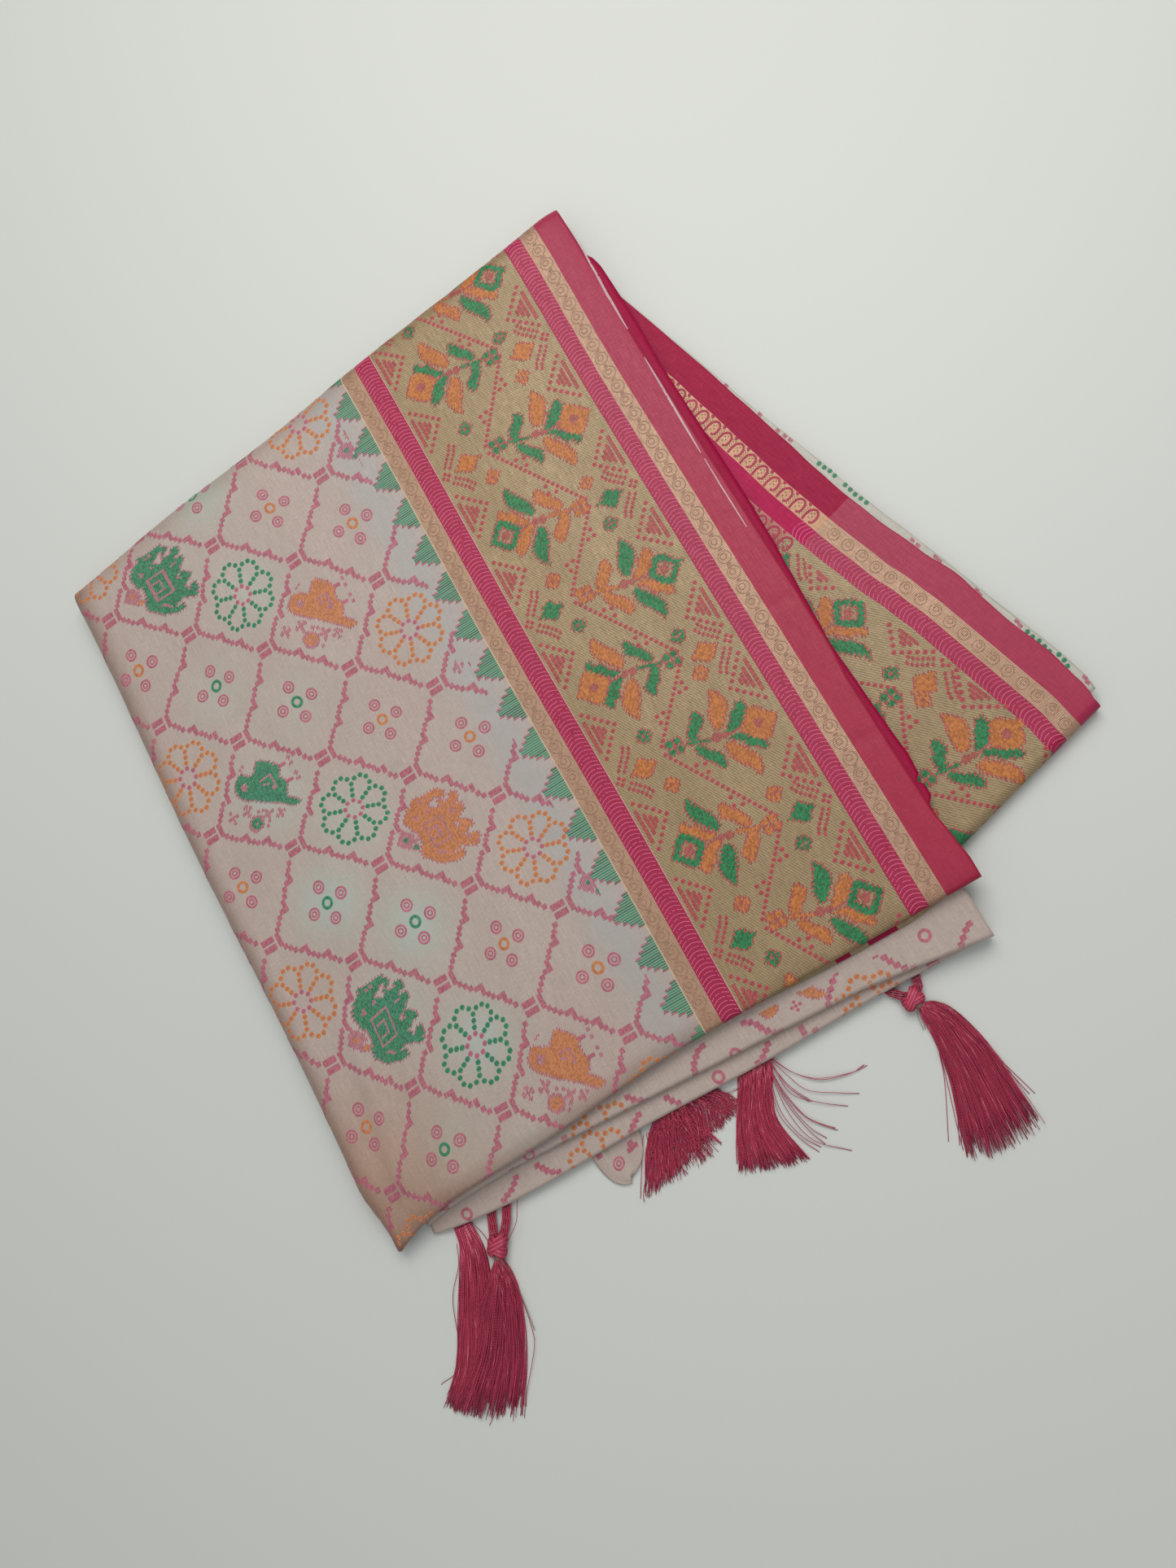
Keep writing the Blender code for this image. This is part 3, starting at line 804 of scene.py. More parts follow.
def folded_layers(made):
    """The hidden layers' rounded form, with every layer's edge rolled and uneven."""
    count = 420
    directions = [core_direction(k, count) for k in range(count)]
    verts = []
    for height, groove in core_levels():
        wave = 0.0003 if 0.0014 < height < CORE_TOP - 0.0001 else 0.0
        for k, direction in enumerate(directions):
            ragged = wave * sin(0.21 * k + 900.0 * height) * sin(0.047 * k + 2.0)
            point = direction * (reach(direction, core_sides(height, groove)) - abs(ragged))
            verts.append((point.x, point.y, height))
    faces = [list(reversed(range(count)))]
    last = len(verts) - count
    for low in range(0, last, count):
        for k, after in closed(list(range(count))):
            faces.append((low + k, low + after, low + count + after, low + count + k))
    faces.append(list(range(last, len(verts))))
    return mesh_object("folded_layers_silk", verts, faces, [made])


def mesh_object(name, verts, faces, materials, kinds=None, fabric=None, numbers=None):
    """A smooth mesh object.

    kinds is each face's material, fabric each point's place in the cloth, and
    numbers holds named lists with a number for each point.
    """
    mesh = bpy.data.meshes.new(name)
    mesh.from_pydata(verts, [], faces)
    for made in materials:
        mesh.materials.append(made)
    mesh.polygons.foreach_set("use_smooth", [True] * len(faces))
    if kinds:
        mesh.polygons.foreach_set("material_index", kinds)
    if fabric:
        layer = mesh.uv_layers.new(name="fabric")
        for loop in mesh.loops:
            layer.data[loop.index].uv = fabric[loop.vertex_index]
    for key, found in (numbers or {}).items():
        mesh.attributes.new(key, "FLOAT", "POINT").data.foreach_set("value", found)
    obj = bpy.data.objects.new(name, mesh)
    bpy.context.scene.collection.objects.link(obj)
    return obj


# A strand's radius, the sides of its tube and how far a wound cord turns
STRAND = 0.00022
SIDES = 4
CORD_TWIST = 1.5


# Silk tassels
class Strands:
    """Thin silk tubes gathered into one mesh, each with a shade of its own."""

    def __init__(self, seed):
        self.draw = random.Random(seed)
        self.verts = []
        self.faces = []
        self.shades = []
        self.lengths = []

    def tube(self, points, radius, shade, glints=None):
        """A square tube through points; glints adds painted highlights to the shade at each of them."""
        base = len(self.verts)
        last = len(points) - 1
        run = 0.0
        for k, point in enumerate(points):
            way, side, up = frame_of(points, k)
            if k:
                run += (point - points[k - 1]).length
            for s in range(SIDES):
                angle = tau * (s + 0.5) / SIDES
                beside = point + side * (radius * cos(angle))
                self.verts.append(beside + up * (radius * sin(angle)))
                self.shades.append(shade + (glints[k] if glints else 0.0))
                self.lengths.append((s / SIDES, run))
        ring = list(range(SIDES))
        for low in range(base, base + last * SIDES, SIDES):
            for s, after in closed(ring):
                self.faces.append((low + s, low + after, low + SIDES + after, low + SIDES + s))
        self.faces.append([base + s for s in reversed(ring)])
        self.faces.append([base + last * SIDES + s for s in ring])

    def bundle(self, points, half_width, count, shade):
        """Parallel strands that together make one flat cord."""
        lines = [[] for _ in range(count)]
        for k, point in enumerate(points):
            way, side, up = frame_of(points, k)
            turn = CORD_TWIST * k / (len(points) - 1)
            for n, line in enumerate(lines):
                line.append(point + oval(side, up, half_width, 0.0009, tau * n / count + turn))
        for line in lines:
            self.tube(line, 0.00045, shade + self.draw.uniform(-0.12, 0.12))

    def skirt(self, left, right, count, root, thick, swell=0.06, ragged=0.07, wild=1.0):
        """Strands that fill the space between a left and a right edge curve.

        root is the (low, high) of their starts, thick how high they pile up, swell
        how much longer the middle ones are, and ragged how uneven their ends.
        """
        draw = self.draw
        left, right = mm(*left), mm(*right)
        steps = 18
        for n in range(count):
            t = (n + draw.random()) / count
            dome = sqrt(max(0.0, 1.0 - (2.0 * t - 1.0) ** 2))
            layer = draw.random()
            reach_to = 1.0 + swell * dome + draw.uniform(-ragged, ragged)
            phase, cycles = draw.uniform(0.0, 6.3), draw.uniform(1.0, 2.6)
            sway = wild * draw.gauss(0.0, 0.0007)
            cross = wild * draw.gauss(0.0, 0.055)
            points = []
            glints = []
            for k in range(steps):
                s = reach_to * k / (steps - 1)
                # Glints are painted highlights, most likely a fifth of the way down where the strands curve
                # over, and only on strands high in the pile
                chance = 0.08 + 0.26 * exp(-((s - 0.20) / 0.16) ** 2)
                glints.append(draw.uniform(0.3, 0.8) if layer > 0.35 and draw.random() < chance else 0.0)
                a, b = curve(left, s), curve(right, s)
                point = a.lerp(b, clamp(t + cross * max(s, 0.0)))
                side = (b - a).normalized()
                point += side * (sway * sin(cycles * 3.1 * s + phase) * min(1.0, 3.0 * max(s, 0.0)))
                low, high = root
                start = low + (high - low) * layer
                pile = 0.0004 + thick * dome * layer * (1.0 - 0.62 * min(s, 1.0))
                point.z = start + (pile - start) * ease(s, 0.0, 0.22)
                point.z = max(point.z + 0.00008 * sin(9.0 * s + phase), 0.0003)
                points.append(point)
            # A strand higher in the pile is lighter and a lower one darker: painted shade under the strands
            # above, on top of each strand's random tone
            wide = STRAND * draw.uniform(0.75, 1.1)
            self.tube(points, wide, 0.65 * draw.random() + 0.3 * layer, glints)

    def stray(self, ends, start_z, lift=0.0, end_z=0.00035, shade=0.55, radius=STRAND):
        """One loose strand that lies away from the others."""
        steps = 22
        points = mm(*ends)
        line = []
        for k in range(steps):
            s = k / (steps - 1)
            point = curve(points, s)
            point.z = start_z + (end_z - start_z) * ease(s, 0.0, 0.35) + lift * sin(pi * s)
            line.append(point)
        self.tube(line, radius, shade)

    def knot(self, centre, way, half_length, half_width, half_height):
        """A cord knotted over itself: a plump body wound round with satin strands."""
        side = Vector((way.y, -way.x, 0.0))
        count = 15
        steps = 24
        windings = ((0.5, 1.0, -0.25), (-0.35, 0.93, 0.3), (0.15, 0.88, 0.0))
        for winding, (tilt, grow, shift) in enumerate(windings):
            for n in range(count):
                band = 2.0 * (n + 0.5) / count - 1.0
                girth = grow * sqrt(1.0 - 0.72 * band * band)
                line = []
                for k in range(steps + 1):
                    angle = tau * k / steps
                    along = shift * 0.4 + 0.75 * band + tilt * cos(angle)
                    point = centre + way * (half_length * along * 0.8)
                    point += side * (half_width * girth * cos(angle))
                    point += UP * (half_height * girth * sin(angle))
                    line.append(point)
                # The upper half of each winding is painted lighter: a painted highlight on the knot's top
                glints = [0.35 * max(sin(pi * k / 12.0), 0.0) for k in range(steps + 1)]
                self.tube(line, 0.00036, 0.5 + 0.35 * sin(1.7 * n + winding), glints)

    def binding(self, centre, way, ends):
        """A fine thread wound round the neck, with its ends left long."""
        side = Vector((way.y, -way.x, 0.0))
        turns, steps, wide, high = 4, 16, 0.0023, 0.0022
        line = []
        for k in range(turns * steps + 1):
            along = way * (0.00042 * (k / steps - turns / 2.0))
            line.append(centre + along + oval(side, UP, wide, high, tau * k / steps))
        self.tube(line, STRAND, 0.5)
        for points in ends:
            self.stray(points, centre.z + high, 0.0008, 0.0012, 0.5, 0.00019)

    def build(self, name, made):
        return mesh_object(name, self.verts, self.faces, [made], None, self.lengths, {"shade": self.shades})


def frame_of(points, k):
    """Unit vectors along, beside and above a line of points at its point k."""
    way = (points[min(k + 1, len(points) - 1)] - points[max(k - 1, 0)]).normalized()
    side = way.cross(UP)
    side = side.normalized() if side.length > 1e-4 else Vector((1.0, 0.0, 0.0))
    return way, side, side.cross(way)


def oval(side, up, wide, high, angle):
    """The way from the middle of an oval to its rim."""
    return side * (wide * cos(angle)) + up * (high * sin(angle))


def curve(points, share):
    """A smooth curve through points, at a share of its way; past 1 it goes straight on."""
    span = len(points) - 1
    k = clamp(int(share * span), 0, span - 1)
    t = share * span - k
    p1, p2 = points[k], points[k + 1]
    p0 = points[k - 1] if k > 0 else p1 * 2.0 - p2
    p3 = points[k + 2] if k + 2 <= span else p2 * 2.0 - p1
    if t > 1.0:
        return p2 + (p2 - p1) * (t - 1.0)
    return 0.5 * (p1 * 2.0 + (p2 - p0) * t + (p0 * 2.0 - p1 * 5.0 + p2 * 4.0 - p3) * t * t
                  + (p1 * 3.0 - p0 - p2 * 3.0 + p3) * t * t * t)


def mm(*points):
    """Points in millimetres as vectors in metres."""
    return [Vector((*point, 0.0)[:3]) / MM for point in points]


def neck(silk, cords, near, centre, way, sizes):
    """Two cords that rise from the near fold to a knot, and the knot."""
    for points, half_width, count, shade in cords:
        silk.bundle(mm(*points), half_width, count, shade)
    for vert in silk.verts:
        vert.z += 0.0016 + 0.0022 * ease(vert.y, -0.232, near)
    way = Vector(way).normalized()
    silk.knot(Vector(centre), way, *sizes)
    return way


def tassels(silk_made, thread_made):
    """Five silk tassels along the near fold, two hung from knotted cords."""
    under = (0.0006, 0.0022)
    made = []

    silk = Strands(11)
    silk.skirt(((-161, -231), (-163.5, -243), (-170.5, -256), (-182, -275), (-195, -296), (-207, -308)),
               ((-151.5, -231), (-150.5, -245), (-153, -258), (-163, -280), (-178, -302), (-193, -318)),
               320, under, 0.0042, swell=0.02)
    silk.stray(((-163, -240), (-168, -250), (-180, -264), (-187, -282), (-191, -291)), 0.003, 0.001)
    silk.stray(((-166, -252), (-176, -272), (-195, -297), (-209, -301)), 0.002)
    silk.stray(((-150, -234), (-147, -246), (-148, -257)), 0.0018, 0.001)
    made.append((silk.build("tassel_1_silk", silk_made), "tassel_1"))

    silk = Strands(12)
    cords = ((((-136.2, -230.5), (-137.6, -234.5), (-139.4, -240), (-141.6, -246), (-142.5, -250)),
              0.0023, 11, 0.6),
             (((-126.4, -230.5), (-128.2, -236), (-130.8, -241.5), (-135.2, -247), (-140, -250)),
              0.0023, 11, 0.7))
    way = neck(silk, cords, -0.246, (-0.1418, -0.2512, 0.0045), (-0.0050, -0.0088, 0.0),
               (0.0074, 0.0058, 0.0038))
    silk.skirt(((-145.5, -256), (-150, -259.5), (-159.5, -267), (-171.5, -276.5), (-186.5, -293),
                (-205, -306)),
               ((-144.2, -257), (-143.5, -262), (-143.2, -273), (-148.5, -290.5), (-157.5, -309),
                (-169.5, -327)), 400, (0.0032, 0.0056), 0.0064, swell=0.05)
    silk.stray(((-144, -259), (-143.6, -276), (-146.9, -298.4), (-151.5, -308), (-166, -324.8),
                (-170.2, -331)), 0.004, 0.0015)
    silk.stray(((-147, -258), (-157, -268), (-170.5, -276.5), (-164, -270)), 0.005, 0.001, 0.006)
    silk.stray(((-119.6, -233), (-121.5, -239), (-126, -245.5), (-135, -251.5)), 0.0016, 0.002, 0.004)
    silk.stray(((-176, -316), (-183, -323), (-194, -331)), 0.001)
    made.append((silk.build("tassel_2_silk", silk_made), "tassel_2"))
    thread = Strands(21)
    thread.binding(Vector((-0.1447, -0.2568, 0.0042)), way,
                   (((-145.6, -258.5), (-148, -263), (-151, -268.5)),
                    ((-144.4, -258.8), (-146.5, -263), (-151.5, -269)),
                    ((-142.6, -258), (-143.2, -270), (-143.9, -283), (-146, -299))))
    made.append((thread.build("tassel_2_binding", thread_made), None))

    silk = Strands(13)
    silk.skirt(((-29, -231.5), (-37, -238), (-45, -247), (-53, -260)),
               ((-4, -231.5), (5, -235.5), (10, -241), (11, -247)), 360, under, 0.0040, swell=0.20,
               ragged=0.08, wild=1.2)
    silk.skirt(((-33, -232.5), (-36, -241), (-41, -251), (-47, -262)),
               ((-14, -232.5), (-13, -241), (-10, -250), (-7, -259)), 110, under, 0.0040, swell=0.10,
               ragged=0.12, wild=1.5)
    for ends in (((-41, -238), (-49, -250), (-59.5, -266)), ((-39, -238), (-45, -252), (-56, -267)),
                 ((-38, -238), (-42, -252), (-51, -268)), ((4, -236), (10, -240), (16.5, -241)),
                 ((2, -236), (9, -243), (15, -246)), ((0, -237), (8, -246), (12, -251)),
                 ((-2, -238), (6, -250), (9.5, -255)), ((6, -236), (12, -244), (13, -249))):
        silk.stray(ends, 0.0015, 0.0012)
    made.append((silk.build("tassel_3_silk", silk_made), "tassel_3"))

    silk = Strands(14)
    silk.skirt(((20.5, -232.5), (17.5, -240), (7.5, -254), (-3, -273)),
               ((41, -232.5), (35.5, -243), (29.5, -252), (25.5, -265), (29, -283)), 380, under, 0.0046,
               swell=0.05)
    for ends in (((39, -235), (45.6, -247), (55.3, -255.7), (70.7, -261), (80.5, -262)),
                 ((39.5, -235), (46, -247.5), (56, -256.8), (71, -261.3), (79.5, -261)),
                 ((39, -236), (42.2, -246.3), (47.5, -258.2), (60.8, -267), (69.8, -272.3)),
                 ((38, -238), (39.1, -255.5), (49.9, -266.6), (61.4, -275)),
                 ((38.5, -238), (39.4, -251), (45.2, -264)), ((38, -239), (40.5, -252), (46.5, -264.5)),
                 ((36.6, -238), (36.4, -251.7), (39.3, -267.6), (44.4, -275.6), (50, -281.5)),
                 ((36.2, -239), (36, -254), (39.5, -269), (45.5, -277.5), (50.5, -283)),
                 ((36.6, -239), (35.5, -257), (38.5, -274), (43.5, -284)),
                 ((36, -240), (34.6, -257), (37.4, -275), (41.3, -286)),
                 ((35, -241), (30, -260), (32.5, -276), (38.5, -286.5)),
                 ((34.5, -242), (28.4, -261), (31.4, -277), (36.5, -288)),
                 ((35.5, -241), (33, -262), (37, -281), (51.5, -295))):
        silk.stray(ends, 0.0020, 0.0014)
    made.append((silk.build("tassel_4_silk", silk_made), "tassel_4"))

    silk = Strands(15)
    cords = ((((125.2, -230), (125.4, -235), (124.2, -239.5), (120, -243)), 0.0021, 10, 0.5),
             (((108, -230.5), (110.6, -235.8), (113.8, -239.6), (117.5, -243)), 0.0021, 10, 0.45))
    way = neck(silk, cords, -0.241, (0.1180, -0.2440, 0.0045), (0.0030, -0.0100, 0.0),
               (0.0050, 0.0062, 0.0036))
    silk.skirt(((118.6, -248), (117.8, -253), (117.6, -263), (115.7, -276), (111.4, -292), (103.2, -315)),
               ((120.2, -247.6), (126, -250), (131, -256.5), (135, -267), (138.5, -286), (139.5, -313.5)),
               400, (0.0032, 0.0054), 0.0060, swell=0.055)
    for ends in (((131, -258), (137.7, -284), (144.9, -312)), ((130, -256), (136.5, -280), (142.5, -311)),
                 ((116.5, -270), (110, -287), (96, -313)), ((116, -272), (110.1, -296), (99.8, -317)),
                 ((116, -272), (111.5, -296), (101.5, -316))):
        silk.stray(ends, 0.0030)
    made.append((silk.build("tassel_5_silk", silk_made), "tassel_5"))
    thread = Strands(22)
    thread.binding(Vector((0.1194, -0.2484, 0.0042)), way,
                   (((117.5, -249), (115.5, -254), (114.6, -260)),
                    ((118.3, -249), (116.8, -254.5), (115.6, -260.3))))
    made.append((thread.build("tassel_5_binding", thread_made), None))
    return made


# Woven patterns
# The threads' places among a piece's materials, and a chart's pitch in mm of the fabric
ORANGE, GREEN, ROSE, PALE, MAUVE, SELVEDGE_GLINT = range(6)
STITCH = 1.05

# How far apart a block's ticks are, across and along, the lattice's green columns, and where
# the first stepped triangle and the next one are, in mm
TICK_STEP = (0.95, 0.92)
GREEN_COLUMNS = (-1, 0)
TEMPLE_FIRST = -2.7
TEMPLE_PITCH = 26.2

# How high stitches stand over the cloth, how often an arc skips a part, and half its width
LOW = 0.00004
RIB_HIGH = 0.00014
RING_HIGH = 0.00016
BEAD_HIGH = 0.00022
FLOAT_HIGH = 0.00020
ARC_GAPS = {MAUVE: 0.08, SELVEDGE_GLINT: 0.05}
ARC_HALF = {ROSE: 0.00066, SELVEDGE_GLINT: 0.00019}


class Chart:
    """Stitches on a grid, and beads, rings, ticks, floats and arcs set free of it."""

    def __init__(self, pitch=STITCH):
        self.pitch = pitch
        self.cells = {}
        self.beads = []
        self.rings = []
        self.ticks = []
        self.floats = []
        self.arcs = []

    def middle(self, key):
        return (key[0] + 0.5) * self.pitch, (key[1] + 0.5) * self.pitch

    def region(self, low, high, inside, colour):
        """Every stitch between two corners whose middle is inside."""
        first, last = ([floor(value / self.pitch) for value in corner] for corner in (low, high))
        for i in range(first[0], last[0] + 1):
            for j in range(first[1], last[1] + 1):
                if not inside(*self.middle((i, j))):
                    continue
                if colour is None:
                    self.cells.pop((i, j), None)
                else:
                    self.cells[i, j] = colour

    def fill(self, points, colour, tooth=2.0, turn=2.1):
        """A shape whose left and right edges step in and out with the weft, like teeth."""
        def inside(x, y):
            x += tooth * ((y / turn) % 1.0 - 0.5)
            odd = False
            for (x0, y0), (x1, y1) in closed(points):
                if (y0 > y) != (y1 > y) and x < x0 + (x1 - x0) * (y - y0) / (y1 - y0):
                    odd = not odd
            return odd

        xs, ys = zip(*points)
        self.region((min(xs) - tooth, min(ys)), (max(xs) + tooth, max(ys)), inside, colour)

    def disc(self, x, y, radius, colour, hole=0.0):
        self.region((x - radius, y - radius), (x + radius, y + radius),
                    lambda a, b: hole <= hypot(a - x, b - y) <= radius, colour)

    def line(self, points, width, colour):
        for (x0, y0), (x1, y1) in zip(points, points[1:]):
            length = max(hypot(x1 - x0, y1 - y0), 1e-6)

            def inside(x, y):
                t = clamp(((x - x0) * (x1 - x0) + (y - y0) * (y1 - y0)) / length ** 2)
                return hypot(x0 + t * (x1 - x0) - x, y0 + t * (y1 - y0) - y) <= width / 2.0

            self.region((min(x0, x1) - width, min(y0, y1) - width),
                        (max(x0, x1) + width, max(y0, y1) + width), inside, colour)

    def bricks(self, points, size, step, colour):
        """Blocks set one after another, which make a stepped line."""
        left = 0.0
        for (x0, y0), (x1, y1) in zip(points, points[1:]):
            length = hypot(x1 - x0, y1 - y0)
            way = left
            while way < length:
                x, y = x0 + (x1 - x0) * way / length, y0 + (y1 - y0) * way / length
                self.block(x, y, *(size if abs(x1 - x0) >= 0.55 * abs(y1 - y0) else size[::-1]), colour)
                way += step
            left = way - length

    def block(self, x, y, wide, high, colour):
        """A block of short slanted ticks, in rows."""
        across, up = max(1, round(wide / TICK_STEP[0])), max(1, round(high / TICK_STEP[1]))
        for i in range(across):
            for j in range(up):
                self.ticks.append((x + wide * ((i + 0.5) / across - 0.5), y + high * ((j + 0.5) / up - 0.5),
                                   colour))

    def lay(self, motif, x, y, turn=1.0, colours=None, flip=1.0, lean=0.0):
        """Paints a motif at (x, y); turn -1 turns it half round, flip -1 mirrors it in y, and
        lean tips it along x."""
        for kind, colour, points, *sizes in motif:
            if colours and colour in colours:
                colour = colours[colour]
            moved = [(x + turn * px, y + turn * (flip * py + lean * px)) for px, py in points]
            if kind == "fill":
                self.fill(moved, colour)
            elif kind == "line":
                self.line(moved, sizes[0], colour)
            elif kind == "bricks":
                self.bricks(moved, *sizes, colour)
            elif kind == "bead":
                self.beads += [(*point, *sizes, colour) for point in moved]
            elif kind == "ring":
                self.rings += [(*point, *sizes, colour) for point in moved]
            for px, py in moved:
                if kind == "disc":
                    self.disc(px, py, sizes[0], colour, *sizes[1:])
                elif kind == "block":
                    self.block(px, py, *sizes, colour)

    def edge(self, inner, colour):
        """Ticks of another colour round shapes, closer at their left and right edges."""
        ticks = set()
        for (i, j), found in self.cells.items():
            if found not in inner:
                continue
            for di, dj in ((1, 0), (-1, 0), (0, 1), (0, -1)):
                key = (i + di, j + dj)
                if key not in self.cells and (di or (i + j) % 2 == 0):
                    ticks.add(key)
        for key in ticks:
            self.cells[key] = colour

    def keep(self, inside):
        self.cells = {key: colour for key, colour in self.cells.items() if inside(*self.middle(key))}
        self.beads, self.rings, self.ticks = (
            [stitch for stitch in group if inside(*stitch[:2])]
            for group in (self.beads, self.rings, self.ticks))


# Each entry is a kind, a colour, points and sizes. The border's flower is drawn
# from the pink heart of its stem, with the bud towards the body.
FLOWER = (
    ("fill", ORANGE, ((-31.5, 3), (-28, 6), (-25, 10), (-22.5, 12.5), (-18.5, 12.5), (-16, 10),
     (-14.5, 7), (-11.5, 3), (-14, 0), (-17, -3), (-19, -6), (-22, -6.5), (-25, -4), (-28, 0))),
    ("fill", GREEN, ((-4, 3), (-7, 5.5), (-9.5, 8.5), (-11.5, 13), (-15, 13.5), (-16.5, 17), (-19, 17),
     (-20, 14), (-17, 10.5), (-14, 8), (-11, 4), (-8, 2.5))),
    ("fill", GREEN, ((-4, 0), (-7, -3), (-10, -5.5), (-11.5, -9), (-14.5, -9.5), (-16.5, -12.5),
     (-19, -11.5), (-20, -8), (-17, -4.5), (-14, -1), (-10, 1), (-7, 1.5))),
    ("fill", ORANGE, ((0, 6), (-3, 5), (-5.5, 8.5), (-8.5, 12.5), (-11, 16.5), (-12, 21), (-10.5, 25.5),
     (-8.5, 28.5), (-7.5, 25), (-6, 22), (-3.5, 18.5), (-1, 14), (0, 11))),
    ("fill", ORANGE, ((0, -4.5), (-3.5, -3), (-6, -6), (-9, -9), (-11.5, -13), (-12, -17.5), (-10, -22),
     (-8, -25), (-6.5, -20.5), (-4, -17), (-1.5, -12.5), (0, -8.5))),
    ("fill", GREEN, ((14, 5), (12, 8.5), (9.5, 11.5), (8, 14.5), (6, 17.5), (4, 15), (3, 10.5), (5, 8),
     (7.5, 5.5), (9.5, 3), (11.5, 0), (14.5, 0))),
    ("fill", GREEN, ((14.5, -3), (14, -8), (12, -11), (9, -13.5), (7, -17), (5, -18), (3, -14),
     (3.5, -10.5), (7, -8), (9.5, -5.5), (11.5, -1.5), (14, -1))),
    ("line", GREEN, ((5.5, 0), (11.5, -2), (16.5, -3.5)), 1.6),
    ("line", ROSE, ((-11, 1.5), (-2.5, 1.5)), 1.1),
    ("disc", ROSE, ((-2.5, 1.0), ), 2.0),
    ("disc", ROSE, ((1.5, 0.0), ), 2.6),
    ("disc", ROSE, ((-21, 3.0), ), 2.6),
)
OPEN_BUD = (
    ("fill", None, ((-27, 3), (-21, 9), (-15.5, 3), (-21, -3))),
    ("disc", ROSE, ((-21, 3.0), ), 2.7),
)
END_STAR = (
    ("disc", GREEN, ((20.6, -2.6), (25.4, -2.6), (20.6, -7.4), (25.4, -7.4)), 1.9),
    ("disc", ROSE, ((23, -5), (19, -5), (27, -5), (23, -9), (23, -1)), 0.9),
)
SMALL_SQUARE = (
    ("fill", GREEN, ((-4.2, 0), (0, 4.6), (4.2, 0), (0, -4.6))),
    ("disc", None, ((0, 0), ), 1.2),
    ("disc", ROSE, ((0, 0), (-2.4, 0), (2.4, 0), (0, 2.4), (0, -2.4)), 0.6),
)
STAR = (
    ("fill", GREEN, ((-7.5, 0), (-4, 2.5), (-2.5, 4.5), (0, 6.5), (2.5, 4.5), (4.5, 2), (8.5, -0.5),
     (5, -1.5), (2.5, -4.5), (0, -5.5), (-2.5, -3.5), (-4, -2))),
)
STAR_SIDE = (
    ("bricks", ROSE, ((-12.3, 6.2), (-8.9, 10), (-5.7, 13.2), (-3.7, 17)), (1.9, 1.7), 2.55),
    ("bricks", ROSE, ((-9.7, 4.2), (-6.3, 8), (-3.1, 11.2), (-1.1, 15)), (1.9, 1.7), 2.55),
    ("bricks", ROSE, ((-12.1, -5), (-8.7, -8.6), (-5.7, -12), (-3.7, -16.2)), (1.9, 1.7), 2.55),
    ("bricks", ROSE, ((-9.5, -3), (-6.1, -6.6), (-3.1, -10), (-1.1, -14.2)), (1.9, 1.7), 2.55),
    ("bead", ROSE, ((-14.2, 2.6), (-14.2, -1.4), (-12.4, 0.6), (-16.2, 0.6)), 1.3),
)
EDGE_TRIANGLE = (
    ("block", ROSE, ((-35.6, 0), ), 2.2, 20.0),
    ("block", ROSE, ((-32.4, 0), ), 2.0, 12.6),
    ("block", ROSE, ((-30.0, 0), ), 2.0, 8.0),
    ("block", ROSE, ((-27.8, 0), ), 1.6, 3.6),
    ("bead", ROSE, ((-34.5, 14), (-31.8, 11.2), (-29.2, 8.4), (-26.6, 5.6), (-24.0, 2.8), (-21.4, 0.0),
     (-24.0, -2.8), (-26.6, -5.6), (-29.2, -8.4), (-31.8, -11.2), (-34.5, -14)), 1.42),
)


def trellis(chart, points, gap=3.15):
    """Dots in a zigzag with a small diamond of dots at each third of a side."""
    for (x0, y0), (x1, y1) in zip(points, points[1:]):
        wide, high = x1 - x0, y1 - y0
        length = hypot(wide, high)
        count = round(length / gap)
        for k in range(1, count):
            chart.beads.append((x0 + wide * (k / count), y0 + high * (k / count), 1.3, ROSE))
        side = (-high / length, wide / length)
        for t, way in ((0.34, 1.0), (0.67, -1.0)):
            x, y = x0 + wide * t, y0 + high * t
            for along, off in ((0.0, 6.0), (0.05, 3.1), (-0.05, 3.1)):
                chart.beads.append((x + wide * along + side[0] * off * way,
                                    y + high * along + side[1] * off * way, 1.4, ROSE))


SWAPPED = {ORANGE: GREEN, GREEN: ORANGE}

# The border's two columns of flowers: the way they face, their lean, and how far below its
# heart each flower is. Then the star, the small squares and the edge's triangles beside it
COLUMNS = (
    (1.0, -0.045, 1.0, (-20.0, 54.0), -11.0, 38.5, (27.0, -19.5), 0.0),
    (-1.0, -0.102, 2.2, (-16.4, 56.6), 8.8, 41.3, (35.0, -18.6), 3.4),
)


def border(chart, left, right, middle):
    """The border's two columns of flowers. left and right list (heart y, True for a green bud).

    middle is the x about which the columns mirror each other.
    """
    for hearts, column in zip((left, right), COLUMNS):
        way, lean, drop, star, square_x, square_y, edges, inset = column
        x = middle - way * 11.8
        for y, green_bud in hearts:
            y -= drop
            colours = SWAPPED if green_bud else None
            opposite = None if green_bud else SWAPPED
            chart.lay(FLOWER, x, y, way, colours, 1.0, lean)
            if green_bud:
                chart.lay(OPEN_BUD, x, y, way, None, 1.0, lean)
            chart.lay(END_STAR, x, y, way, colours, 1.0, lean)
            for off in (way * square_y, -way * 34.0):
                chart.lay(SMALL_SQUARE, x + square_x, y + off, way, colours if way > 0.0 else opposite)
            for motif, dyed in ((STAR, colours), (STAR_SIDE, None)):
                chart.lay(motif, x + way * star[0], y + way * star[1], way, dyed)
            for off in edges:
                chart.lay(EDGE_TRIANGLE, x + way * inset, y + way * off, way)
    turns = [(y - 7.5, middle + 17.5) for y, _ in left] + [(y + 6.8, middle - 19.5) for y, _ in right]
    trellis(chart, [(x, y) for y, x in sorted(turns)])


